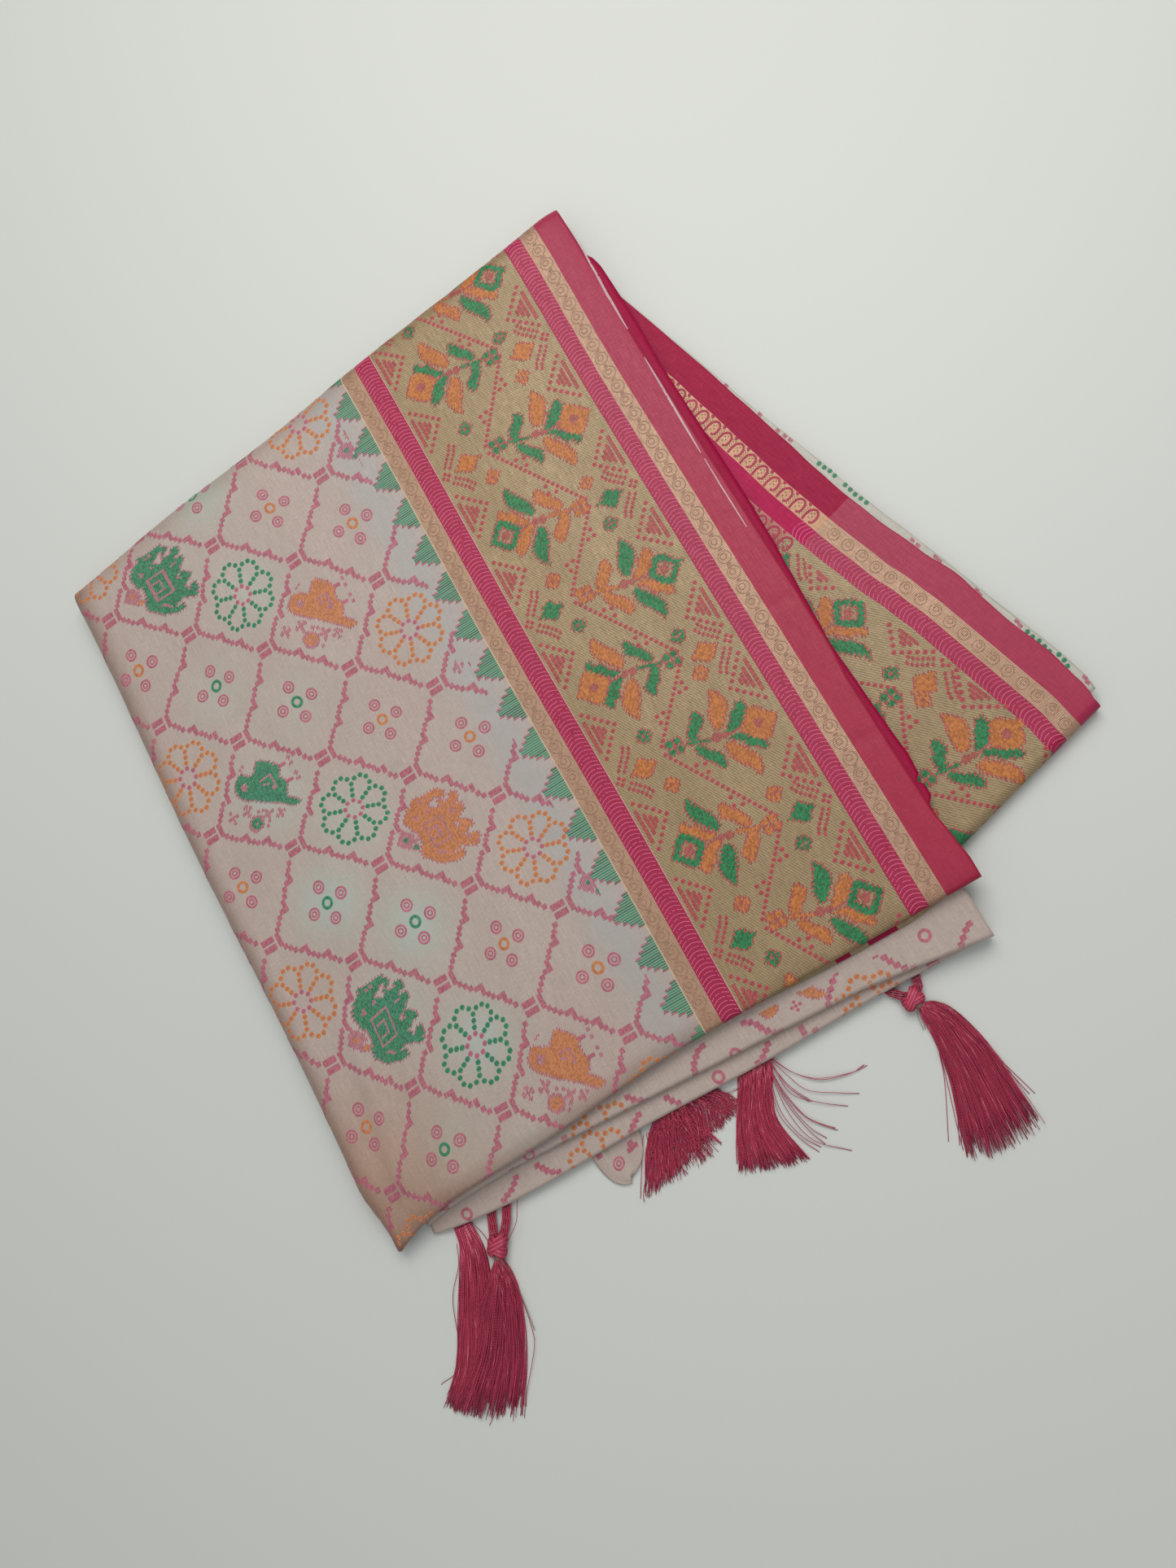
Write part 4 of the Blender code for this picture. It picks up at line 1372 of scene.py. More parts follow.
# The body's motifs, from the middle of their cell
PARROT = (
    ("fill", GREEN, ((14.8, -15.8), (10.3, -15.8), (6.8, -12.3), (3.3, -8.8), (-0.7, -5.8), (-4.2, -2.8),
     (-7.7, 0.2), (-10.7, 3.2), (-13.7, 5.7), (-16.2, 8.2), (-17.7, 11.2), (-17.7, 14.2), (-16.2, 16.2),
     (-13.7, 18.2), (-11.2, 19.2), (-9.2, 17.7), (-7.2, 15.7), (-5.2, 14.7), (-2.2, 14.7), (-1.2, 16.7),
     (0.8, 18.2), (2.3, 20.2), (3.8, 19.7), (6.3, 17.7), (8.3, 16.2), (9.8, 14.2), (11.3, 12.2),
     (12.3, 10.2), (11.3, 8.2), (10.3, 5.2), (10.8, 2.7), (12.3, 0.7), (11.8, -1.8), (10.3, -4.3),
     (8.8, -6.8), (9.3, -8.8), (11.3, -10.8), (13.3, -12.8))),
    ("disc", None, ((-11.4, 12), ), 2.3),
    ("disc", ROSE, ((-11.4, 12), ), 1.3),
    ("line", ROSE, ((-1.2, 9.2), (5.8, 9.2), (5.8, 1.2), (3.3, 1.2)), 1.4),
    ("line", ROSE, ((-0.7, 6.2), (2.3, 5.0)), 1.3),
    ("bricks", ROSE, ((13.5, 10.4), (17.5, 10.4)), (2.4, 1.8), 2.0),
    ("disc", ROSE, ((19.5, 12.4), (19.5, 8.4)), 1.3),
    ("bricks", ROSE, ((13.5, -0.2), (17.5, -0.2)), (2.4, 1.8), 2.0),
    ("disc", ROSE, ((19.5, 1.8), (19.5, -2.0)), 1.3),
    ("disc", ROSE, ((-9, 21.5), (-7, 22.5)), 1.0),
    ("disc", ROSE, ((-26, 1.5), (-26, 4.4), (-26, -1.4), (-28.6, 1.5), (-23.4, 1.5)), 1.3),
    ("disc", ROSE, ((-16.2, -0.6), (-16.2, 2.3), (-16.2, -3.5), (-19, -0.6), (-13.6, 0.2)), 1.4),
    ("disc", ROSE, ((-14.6, -10.6), ), 5.2, 3.4),
    ("disc", GREEN, ((-14.6, -10.6), ), 3.5),
    ("disc", ROSE, ((-14.6, -10.6), ), 0.9),
    ("line", ROSE, ((-9.6, -10.2), (-2.7, -10.2)), 2.0),
    ("disc", ROSE, ((-10.6, -4.6), (-7.8, -6.2), (-5.8, -8.2), (-9.8, -16.6), (-7, -14.2), (-5.8, -12.4)),
     1.2),
    ("disc", ROSE, ((1, -14.6), (3.6, -14.2), (-1.6, -15), (1, -12.4), (1, -17)), 1.2),
)
ELEPHANT = (
    ("fill", ORANGE, ((-9, 23.4), (-5.5, 23.4), (-5.5, 21.9), (8, 21.9), (8, 19.9), (10.5, 19.4),
     (10.5, 15.9), (7, 15.9), (7, 12.6), (11.5, 12.4), (12.5, 14.4), (13.5, 15.4), (17, 15.4), (17, 10),
     (12.5, 9.9), (12.5, 8), (17, 8), (17, 3), (14, 3), (13, 1.4), (11.5, 0), (11.5, -1.1), (14.5, -1.6),
     (15.5, -3.6), (17, -3.6), (17, -7.1), (13, -7.1), (12, -9.1), (8.6, -9.2), (8.6, -10.6),
     (10.5, -10.6), (10.5, -13.6), (13, -13.6), (13, -11.1), (17, -11.1), (17, -16.1), (15, -16.1),
     (15, -18.6), (11.5, -18.6), (10.5, -16.6), (7.5, -16.6), (5.5, -14.1), (4, -15.1), (-0.5, -16),
     (-0.5, -17.1), (4, -17.1), (4, -20.6), (-3.5, -20.6), (-5, -19.1), (-7.5, -18.6), (-10.5, -17.1),
     (-13, -14.6), (-14.5, -12.6), (-17.5, -10.1), (-17.5, -5.1), (-15.5, -3.6), (-14.5, -1.6),
     (-14.5, 4.9), (-17, 6.4), (-17, 9.4), (-18.5, 11.4), (-18.5, 14.4), (-17, 15.4), (-17, 16.9),
     (-15, 17.4), (-15, 18.9), (-12, 19.9), (-9, 20.9))),
    ("fill", None, ((-1.5, 16.4), (2.5, 16.4), (2.5, 17.9), (7, 17.9), (7, 15.9), (5.5, 15.4), (5, 11.9),
     (2.5, 11.9), (1, 12.4), (-1, 13.4))),
    ("fill", None, ((7.5, -0.6), (10.5, -1.2), (10, -4.2), (7.5, -4))),
    ("disc", ROSE, ((-11.5, 12.4), ), 1.7),
    ("disc", ROSE, ((-3.5, 12.4), (-4.5, 19.9), (-1, 19.9)), 1.1),
    ("line", ROSE, ((-9.5, 6.9), (2, 6.9), (2, -7.6), (-9.5, -7.6), (-9.5, 6.9)), 1.5),
    ("line", ROSE, ((-8, 2.6), (-2.6, 2.6), (-2.6, -3.4), (-8, -3.4)), 1.4),
    ("line", ROSE, ((8, 6.3), (11.5, 6.3)), 1.3),
    ("line", ROSE, ((-9, -11.6), (-7, -12), (-4, -15.4)), 1.4),
    ("disc", ROSE, ((-23, 3.9), ), 4.9, 1.6),
    ("disc", ROSE, ((-23, 9.4), (-28, 3.9), (-18.3, 3.9), (-23, -1.4), (-17.7, 0.9)), 1.2),
    ("disc", GREEN, ((-23, 3.9), (-19.5, -2.6)), 1.6),
)
CELL_RINGS = (
    ("ring", ROSE, ((-10.1, -0.2), (10.0, -0.3), (-0.1, 9.9), (0.2, -10.0)), 3.7, 2.5),
    ("ring", ROSE, ((-10.1, -0.2), (10.0, -0.3), (-0.1, 9.9), (0.2, -10.0)), 1.9, 0.9),
    ("ring", GREEN, ((0, 0), ), 3.65, 1.9),
)


def around(radius, count, turn=0.0):
    return tuple((radius * cos(turn + tau * k / count),
                  radius * sin(turn + tau * k / count)) for k in range(count))


def rosette_petals():
    """Beads of eight petals: rays that neighbours share, and a lobe at each end."""
    petal = ((22.5, 8.4), (22.5, 11.7), (22.5, 15.1), (15.5, 18.4), (5.3, 20.4), (-5.3, 20.4), (-15.5, 18.4))
    dots = []
    for k in range(8):
        for turn, radius in petal:
            way = radians(45.0 * k + turn + 2.0)
            dots.append((radius * cos(way), radius * sin(way)))
    return tuple(dots)


ROSETTE = (
    ("bead", GREEN, rosette_petals(), 1.64),
    ("bead", ROSE, around(5.3, 8, 0.39), 1.55),
)
# The body's trellis, from the middle of a node: its bars, and its sides to the right
NODE = (
    ("block", ROSE, ((-4.75, 2.4), (-4.75, -2.4)), 8.1, 3.3),
    ("block", ROSE, ((2.35, 0), ), 2.9, 8.2),
)
SIDE_DOWN = (
    ("block", ROSE, ((4.8, -5.4), (6.8, -7.9), (8.7, -10.7), (18.0, -19.2), (20.0, -21.6), (21.6, -24.3),
     (26.9, -30.0), (29.2, -32.7)), 2.9, 2.7),
    ("block", ROSE, ((13.7, -13.2), ), 6.0, 2.7),
    ("block", ROSE, ((15.4, -16.4), (25.1, -25.4)), 2.7, 4.6),
)
SIDE_UP = (
    ("block", ROSE, ((4.5, 5.2), (6.5, 7.5), (8.5, 9.9), (10.7, 12.2), (16.6, 17.7), (18.5, 20.2),
     (26.1, 28.4), (28.6, 31.2)), 2.9, 2.7),
    ("block", ROSE, ((22.8, 22.5), ), 6.2, 2.7),
    ("block", ROSE, ((14.7, 13.7), ), 2.7, 6.0),
    ("block", ROSE, ((24.6, 25.5), ), 2.7, 3.4),
)
SIDE_UP_CLOSED = (
    ("block", ROSE, ((4.2, 5.3), (6.5, 7.8), (8.7, 10.3), (17.2, 18.3), (19.2, 20.8), (27.0, 28.3),
     (29.2, 31.3)), 2.9, 2.7),
    ("block", ROSE, ((13.2, 12.3), (23.7, 22.9)), 6.0, 2.7),
    ("block", ROSE, ((14.9, 15.6), (25.2, 25.8)), 2.7, 3.8),
)


def lattice(across, down):
    """A place in the body's lattice, in mm of the fabric."""
    x = -91.85 + 40.447 * across - 0.067 * down
    y = 32.7 + 0.377 * across - 37.007 * down
    return x - 8.0 * y / MM, y


def body(solids, lines, columns, rows):
    """The body's ogee trellis and what stands in its cells."""
    for across in columns:
        for down in rows:
            x, y = lattice(across, down)
            if (across + down) % 2 == 0:
                open_side = (across + 2 * down) % 3 == 0
                lines.lay(SIDE_DOWN if open_side else SIDE_UP_CLOSED, x, y, 1.0, None,
                          1.0 if open_side else -1.0)
                lines.lay(SIDE_UP if (across - down) % 4 else SIDE_UP_CLOSED, x, y)
                lines.lay(NODE, x, y)
                continue
            n = (down - across - 1) // 2
            green = across in GREEN_COLUMNS
            chart, motif, colours = solids, PARROT, None if green else {GREEN: ORANGE}
            if n % 2:
                chart, motif = lines, CELL_RINGS
            elif across % 2 == 0:
                chart, motif = lines, ROSETTE
            elif (n % 4 == 0) != (across == -1):
                motif, colours = ELEPHANT, SWAPPED if green else None
            chart.lay(motif, x - 1.9, y, 1.0, colours)


# Half the height of each step of a triangle, where it starts and where it ends
TEMPLE_STEPS = ((2.3, 6.9, 9.9), (4.7, 10.2, 13.3), (7.2, 13.1, 17.0), (9.6, 16.9, 20.4))


def temples(chart, base, low, high):
    """Stepped triangles of long floats that point to the body from the zari band."""
    y = TEMPLE_FIRST
    while y > low:
        y -= TEMPLE_PITCH
    while y < high:
        for k in range(-7, 8):
            off = 1.32 * k
            starts = [start for half, start, end in TEMPLE_STEPS if abs(off) < half]
            if starts:
                chart.floats.append((starts[0] + 0.3, base, y + off, 0.98, GREEN))
        for half, start, end in TEMPLE_STEPS:
            for side in (-1.0, 1.0):
                chart.block((start + end) / 2.0, y + side * half, end - start + 0.4, 1.15, ROSE)
        y += TEMPLE_PITCH


# How the slack cloth carries the weave off its true lines: (x, y) and the shift, in mm
BODY_DRAG = (
    (-173, 183, -1.0, 3.5), (-92, 184, -0.2, 3.6), (-131, 145, 1.2, 1.4), (-51, 145, 0.0, 1.4),
    (-174, 106, -1.2, 0.4), (-92, 109, -0.8, 2.0), (-132, 70, -0.2, 0.7), (-51, 69, 0.2, -1.0),
    (-12, 181, -1.0, -0.6), (-12, 105, -1.6, -2.4), (-13, -113, -1.5, 1.4), (-50, -76, 1.1, 1.5),
    (-52, -150, -0.7, 1.5), (-12, -188, -1.0, 0.5), (-131, -78, 1.8, 0.5), (-91, -115, 1.4, 0.2),
    (-170, -123, 2.8, -6.6), (-134, -155, -1.2, -2.4), (-93, -191, -0.7, -1.6), (-171, -200, 2.0, -9.9),
    (-173, 30, -0.6, -2.4), (-90, 33, 1.4, 0.0), (-12, 31, -1.4, -2.0), (-131, -3, 0.9, 1.4),
    (-51, -4, 0.8, -0.1), (-172, -45, 1.1, -2.9), (-90, -39, 1.8, 2.0), (-11, -41, -0.4, -0.8),
    (-172, -162, 2.5, -9.2), (-137, -192, -2.7, -2.5), (-174, -83, 0.8, -3.9), (22, 100, 0, -1.4),
    (22, 0, 0, 0), (22, -100, 0, 1.6), (22, 200, 0, 0), (22, -200, 0, 0),
)


def dragged(marks, reach_mm=24.0):
    """Moves a place in the fabric by the shifts round it."""
    def move(x, y):
        total = move_x = move_y = 0.0
        for px, py, dx, dy in marks:
            far = ((MM * x - px) ** 2 + (MM * y - py) ** 2) / reach_mm ** 2
            weight = exp(-far) + 0.02 / (1.0 + far)
            total += weight
            move_x += weight * dx
            move_y += weight * dy
        return x + move_x / total / MM, y + move_y / total / MM
    return move


# Laying stitches on cloth
class Stitches:
    """Raised silk stitches on a cloth, gathered in one mesh."""

    def __init__(self, cloth, seed, move=None):
        self.cloth = cloth
        self.move = move
        self.draw = random.Random(seed)
        self.verts = []
        self.faces = []
        self.kinds = []
        self.shades = []

    def vert(self, x, y, lift, shade):
        """A point over the fabric; x, y and lift in metres."""
        if self.move:
            x, y = self.move(x, y)
        point, normal = self.cloth.at(x, y)
        self.verts.append(point + normal * lift)
        self.shades.append(shade)
        return len(self.verts) - 1

    def face(self, colour, *corners):
        self.faces.append(corners)
        self.kinds.append(colour)

    def ridge(self, colour, rows):
        """Two bands of faces along rows of three points each."""
        for now, then in rows:
            self.face(colour, now[0], then[0], then[1], now[1])
            self.face(colour, now[1], then[1], then[2], now[2])

    def rib(self, x, y, wide, high, lean, colour):
        """One short float with a ridge along its middle."""
        shade = self.draw.random()
        k = [self.vert(x + side * wide + end * lean, y + end * high, RIB_HIGH if side == 0 else LOW, shade)
             for end in (-1, 1) for side in (-1, 0, 1)]
        self.face(colour, k[0], k[1], k[4], k[3])
        self.face(colour, k[1], k[2], k[5], k[4])

    def bead(self, x, y, radius, colour):
        """A round dot whose two halves part along a dark line, painted shade in the groove between them."""
        tilt = self.draw.uniform(0.3, 0.7)
        inner = 0.55 * radius

        def place(reach_out, turn, lift, shade):
            angle = tilt + turn
            return self.vert(x + reach_out * cos(angle), y + reach_out * sin(angle), lift, shade)

        # The parting's two points take shade 0, so the line along it is dark: painted shade in the groove
        low = [self.vert(x + way * inner * cos(tilt), y + way * inner * sin(tilt), 0.00005, 0.0)
               for way in (-1, 1)]
        shade = self.draw.uniform(0.6, 1.0)
        rim = [place(radius, turn, LOW, shade) for turn in (0.0, 1.0, 2.1, 3.14, 4.2, 5.3)]
        top = [place(inner, turn, BEAD_HIGH, shade) for turn in (1.57, 4.71)]
        halves = ((top[0], *rim[:4], *low), (top[1], *rim[3:], rim[0], *low[::-1]))
        for crest, a, b, c, d, this, that in halves:
            self.face(colour, a, b, crest, that)
            self.face(colour, b, c, crest)
            self.face(colour, c, d, this, crest)
            self.face(colour, this, that, crest)

    def ring(self, x, y, outer, hole, colour):
        steps = 18
        rows = []
        for k in range(steps):
            angle = tau * k / steps
            shade = self.draw.uniform(0.1, 1.0)
            rows.append([self.vert(x + r * cos(angle), y + r * sin(angle), lift, shade)
                         for r, lift in ((outer, LOW), ((outer + hole) / 2.0, RING_HIGH), (hole, LOW))])
        self.ridge(colour, closed(rows))

    def float(self, start, end, y, high, colour):
        """A long float along the weft, from start to end."""
        steps = max(2, round((end - start) / 0.0022))
        shade = self.draw.random()
        rows = [[self.vert(start + (end - start) * k / steps, y + side * high / 2.0, lift, shade)
                 for side, lift in ((-1, LOW), (0, FLOAT_HIGH), (1, LOW))] for k in range(steps + 1)]
        self.ridge(colour, zip(rows, rows[1:]))

    def arc(self, points, colour):
        """A fine thread through points in mm, slanted up to one side."""
        shade = self.draw.uniform(0.4, 1.0)
        for (x0, y0), (x1, y1) in zip(points, points[1:]):
            if self.draw.random() < ARC_GAPS.get(colour, 0.0):
                continue
            if colour == MAUVE:
                x1, y1 = x0 + 0.8 * (x1 - x0), y0 + 0.8 * (y1 - y0)
            wide = ARC_HALF.get(colour, 0.00023) / hypot(x1 - x0, y1 - y0)
            k = [self.vert(px / MM - side * wide * (y1 - y0), py / MM + side * wide * (x1 - x0), lift, shade)
                 for px, py in ((x0, y0), (x1, y1)) for side, lift in ((-1, 0.00006), (1, 0.00014))]
            self.face(colour, k[0], k[2], k[3], k[1])

    def lay(self, chart, keep=None):
        """Every stitch of a chart whose place passes keep."""
        def left_out(x, y):
            return keep and not keep(x, y)

        pitch = chart.pitch / MM
        for (i, j), colour in sorted(chart.cells.items()):
            x, y = (i + 0.5) * pitch, (j + 0.5) * pitch
            if left_out(x, y):
                continue
            x += self.draw.uniform(-0.05, 0.05) * pitch
            sizes = (0.36, 0.56, 0.26) if colour in (ROSE, PALE, MAUVE) else (0.47, 0.50, 0.14)
            self.rib(x, y, *(size * pitch for size in sizes), colour)
        for group, stitch, spot in ((chart.ticks, self.tick, 0), (chart.beads, self.bead, 0),
                                    (chart.rings, self.ring, 0), (chart.floats, self.float, 1)):
            for *sizes, colour in group:
                sizes = [size / MM for size in sizes]
                if not left_out(*sizes[spot:spot + 2]):
                    stitch(*sizes, colour)
        for points, colour in chart.arcs:
            if not left_out(points[0][0] / MM, points[0][1] / MM):
                self.arc(points, colour)

    def tick(self, x, y, colour):
        self.rib(x, y, 0.00042, 0.00058, 0.00032, colour)

    def build(self, name, materials):
        return mesh_object(name, self.verts, self.faces, materials, self.kinds, None, {"shade": self.shades})


# Materials
def fabric_mm(tree, turn=0.0, scale=(1.0, 1.0, 1.0)):
    """The piece's fabric coordinates in millimetres, turned and stretched."""
    coords = add(tree, "UVMap", uv_map="fabric")
    size = add(tree, "Mapping", Vector=coords.outputs["UV"], Rotation=(0.0, 0.0, turn),
               Scale=tuple(MM * share for share in scale))
    return size.outputs["Vector"]


def thread_silk(name, hex_colour, dark_hex):
    """Floats of dyed art silk in the supplementary weft: each stitch has its own shade."""
    made, tree, surface = new_material(name)
    shade = add(tree, "Attribute", attribute_name="shade")
    place = add(tree, "TexCoord").outputs["Object"]
    fibre = add(tree, "TexNoise", Vector=place, Scale=2600.0, Detail=2.0).outputs["Fac"]
    blend = add(tree, "Math", operation="MULTIPLY_ADD", in_0=shade.outputs["Fac"], in_1=0.6, in_2=fibre)
    share = add(tree, "MapRange", Value=blend.outputs[0], From_Min=0.35, From_Max=1.1)
    colour = add(tree, "Mix", data_type="RGBA", in_0=share.outputs["Result"], in_6=linear(dark_hex),
                 in_7=linear(hex_colour))
    bump = add(tree, "Bump", Height=fibre, Strength=0.35, Distance=0.00008)
    add(tree, surface, Base_Color=colour.outputs[2], Normal=bump.outputs["Normal"], Roughness=0.5,
        Specular_IOR_Level=0.35, Sheen_Weight=0.1, Sheen_Tint=linear(hex_colour), Sheen_Roughness=0.4)
    return made


def woven(name, base, dark, light_hex, twill=0.8, turn=1.57, contrast=0.25, roughness=0.46, sheen=0.25,
          metal=0.0, tints=(), relief=0.00007, shine=0.4):
    """Woven silk ground: a twill line, uneven yarn and soft large-scale variation.

    The real yarn is 0.1 to 0.2 mm. The twill line stands for three or four ends,
    as fine as the picture can hold. tints are (attribute, hex colour, strength).
    """
    made, tree, surface = new_material(name)
    line = add(tree, "TexWave", bands_direction="X", Vector=fabric_mm(tree, turn), Scale=WAVE_MM / twill,
               Distortion=0.6, Detail=1.0, Detail_Scale=2.0)
    weft, warp, cloud = (
        add(tree, "TexNoise", Vector=fabric_mm(tree, slant, scale), Scale=1.0, Detail=detail).outputs["Fac"]
        for slant, scale, detail in ((0.0, (0.22, 1.9, 1.0), 3.0), (0.0, (1.7, 0.10, 1.0), 2.0),
                                     (0.3, (0.03, 0.018, 1.0), 2.0)))
    yarn = add(tree, "Math", operation="MULTIPLY", in_0=weft, in_1=warp).outputs[0]
    grain = add(tree, "MapRange", Value=yarn, From_Min=0.12, From_Max=0.42).outputs["Result"]
    fine = add(tree, "Mix", data_type="RGBA", in_0=grain, in_6=linear(dark), in_7=linear(base))
    lit = add(tree, "Math", operation="MULTIPLY", in_0=line.outputs["Fac"], in_1=contrast)
    drift = add(tree, "MapRange", Value=cloud, From_Min=0.35, From_Max=0.65, To_Min=0.0, To_Max=0.22)
    layers = [("MIX", lit.outputs[0], light_hex), ("MIX", drift.outputs["Result"], dark)]
    for attribute, tint, strength in tints:
        amount = add(tree, "Attribute", attribute_name=attribute)
        share = add(tree, "Math", operation="MULTIPLY", in_0=amount.outputs["Fac"], in_1=strength)
        layers.append(("MIX" if attribute in ("mint", "slate") else "MULTIPLY", share.outputs[0], tint))
    colour = fine.outputs[2]
    for way, share, tint in layers:
        colour = add(tree, "Mix", data_type="RGBA", blend_type=way, in_0=share, in_6=colour,
                     in_7=linear(tint)).outputs[2]
    height = add(tree, "Math", operation="MULTIPLY_ADD", in_0=yarn, in_1=0.5, in_2=line.outputs["Fac"])
    bump = add(tree, "Bump", Height=height.outputs[0], Strength=0.5, Distance=relief)
    gloss = add(tree, "MapRange", Value=grain, To_Min=roughness + 0.10, To_Max=roughness - 0.06)
    add(tree, surface, Base_Color=colour, Normal=bump.outputs["Normal"], Roughness=gloss.outputs["Result"],
        Sheen_Weight=sheen, Sheen_Tint=linear(light_hex), Sheen_Roughness=0.35, Specular_IOR_Level=shine,
        Metallic=metal)
    return made


def tassel_silk(name, bright, deep, glint):
    """Twisted rayon silk strands: each strand's shade differs, and pale glints, painted highlights, lie
    along the twist.
    """
    made, tree, surface = new_material(name)
    run = fabric_mm(tree, 0.0, (0.001, 1.0, 0.001))
    twist = add(tree, "TexWave", bands_direction="DIAGONAL", Vector=run, Scale=0.45, Distortion=1.2,
                Detail=1.0).outputs["Fac"]
    place = add(tree, "TexCoord").outputs["Object"]
    speck = add(tree, "TexNoise", Vector=place, Scale=1100.0, Detail=2.0).outputs["Fac"]
    shade = add(tree, "Attribute", attribute_name="shade").outputs["Fac"]
    blend = add(tree, "Math", operation="MULTIPLY_ADD", in_0=twist, in_1=0.35, in_2=shade)
    share = add(tree, "MapRange", Value=blend.outputs[0], From_Min=0.0, From_Max=1.2)
    colour = add(tree, "Mix", data_type="RGBA", in_0=share.outputs["Result"], in_6=linear(deep),
                 in_7=linear(bright))
    # Where the shade and the fine specks run high the glint colour is painted in: a painted highlight
    caught = add(tree, "Math", operation="MULTIPLY_ADD", in_0=speck, in_1=0.5, in_2=shade)
    spark = add(tree, "MapRange", Value=caught.outputs[0], From_Min=1.2, From_Max=1.75, To_Max=0.62)
    lit = add(tree, "Mix", data_type="RGBA", in_0=spark.outputs["Result"], in_6=colour.outputs[2],
              in_7=linear(glint))
    bump = add(tree, "Bump", Height=twist, Strength=0.7, Distance=0.0001)
    add(tree, surface, Base_Color=lit.outputs[2], Normal=bump.outputs["Normal"], Roughness=0.3,
        Sheen_Weight=0.2, Sheen_Tint=linear(glint), Sheen_Roughness=0.3)
    return made


def layer_edges(name):
    """Edges of the stacked layers: pink selvedges towards the border's side, beige folds elsewhere."""
    made, tree, surface = new_material(name)
    place = add(tree, "TexCoord").outputs["Object"]
    parts = add(tree, "SeparateXYZ", Vector=place)
    side = add(tree, "MapRange", Value=parts.outputs["X"], From_Min=0.150, From_Max=0.156)
    thread = add(tree, "TexNoise", Vector=place, Scale=900.0, Detail=3.0).outputs["Fac"]
    beige, pink = (add(tree, "Mix", data_type="RGBA", in_0=thread, in_6=linear(low), in_7=linear(high))
                   for low, high in (("94837A", "BFB0A7"), ("8A1E45", "B53767")))
    colour = add(tree, "Mix", data_type="RGBA", in_0=side.outputs["Result"], in_6=beige.outputs[2],
                 in_7=pink.outputs[2])
    bump = add(tree, "Bump", Height=thread, Strength=0.4, Distance=0.0001)
    add(tree, surface, Base_Color=colour.outputs[2], Normal=bump.outputs["Normal"], Roughness=0.6,
        Sheen_Weight=0.3)
    return made


# The whole saree
camera()
studio()

# The body's tissue silk: a soft silver-beige satin face, tinted where the motifs' weft floats behind,
# darkened near the folds as painted shade, and darker and warmer towards the near left corner
body_silk = woven("silver_beige_silk", "B6A69E", "9E8E85", "C7B8B0", 0.9, 0.7, 0.22, tints=(
    ("mint", "9FB4AA", 0.62), ("slate", "989FA0", 0.62), ("warm", "ECC8AC", 0.7), ("shade", "B08E7C", 0.8)))
# The border's ground: khaki-gold metallic thread in a twill whose lines catch the light
gold_silk = woven("khaki_gold_brocade", "9B8561", "705C3E", "C0AB87", 1.25, -0.5, 0.4, roughness=0.44,
                  metal=0.1, tints=(("shade", SHADED, 0.6), ))
# Rose-gold zari: flat metal thread, bright on its edges
zari = woven("rose_gold_zari", "AE8972", "866652", "CDAB8E", 0.95, 1.57, 0.4, roughness=0.42, metal=0.25,
             tints=(("shade", SHADED, 0.5), ), relief=0.00012)
# Warp-faced satin of the pink bands: deep and even, darkened near the folds as painted shade, the outer
# pink left paler towards the far fold as a painted sheen, and with hardly any sheen on the inner layers
magenta = woven("magenta_satin_band", "A81946", "861034", "B42856", roughness=0.42,
                tints=(("shade", SHADED, 0.4), ), shine=0.3, sheen=0.15)
outer_pink = woven("pink_selvedge_painted_sheen", "A6224A", "8E183A", "B2365A",
                   tints=(("rani", "FFC0DC", 0.9), ("shade", SHADED, 0.4)), shine=0.35, sheen=0.2)
rani_pink = woven("rani_pink_silk", "A0063E", "860432", "AC144A", shine=0.15, sheen=0.03)
pallu_magenta = woven("bright_magenta_pallu_band", "B4084E", "98063E", "C0185C", roughness=0.44,
                      shine=0.15, sheen=0.03)
# The plain back of a body layer: pale, matt and without figures
pale_silk = woven("pale_reverse_silk", "BFBCB2", "A4A096", "D0CDC4", 0.9, 0.7, 0.2)
# The pallu: rose-gold zari with a dull glint, and a ground mottled by its gold and pink threads
pale_zari = woven("dotted_pallu_zari", "B0846A", "946A50", "C8A384", 1.0, 0.7, 0.4, roughness=0.42,
                  metal=0.25)
mottled = woven("mottled_pallu_silk", "AC7A5E", "A4405A", "B08C66", 1.2, 0.7, 0.4)
# Fine pale threads beside the pink bands, matt like cotton
cream_line = woven("cream_edge_thread", "C8B698", "AA9678", "DCCDB2", 0.8, 1.57, 0.3)
pink_line = woven("pale_pink_edge_thread", "C89692", "AE7878", "D8B2AA", 0.8, 1.57, 0.3)

# Art silk floats of the figures: smooth, a little glossy, and lighter or darker from float to float
pale_thread = thread_silk("pale_zari_floats", "A07C64", "785A4A")
mauve_thread = thread_silk("pink_scale_floats", "DC6890", "BC4474")
gold_orange = thread_silk("deep_orange_silk_floats", "C4783C", "904E20")
threads = [thread_silk("orange_silk_floats", "C47E50", "9C5C3A"),
           thread_silk("sea_green_silk_floats", "408866", "205C42"),
           thread_silk("rose_silk_floats", "B66A7A", "8E4C5A"), pale_thread, mauve_thread]
# The border's last thread, the pale one, paints the highlight along the selvedge's edge
border_threads = [gold_orange, thread_silk("leaf_green_silk_floats", "1E8450", "0A4C2A"),
                  thread_silk("brick_rose_floats", "B04A4E", "822E36"), pale_thread, mauve_thread,
                  thread_silk("pale_selvedge_painted_glint", "C4A6A8", "8E6870")]
pallu_threads = [gold_orange, thread_silk("dark_gold_net", "866044", "62422C"),
                 thread_silk("crimson_scroll_floats", "A82042", "801232"), pale_thread, mauve_thread]

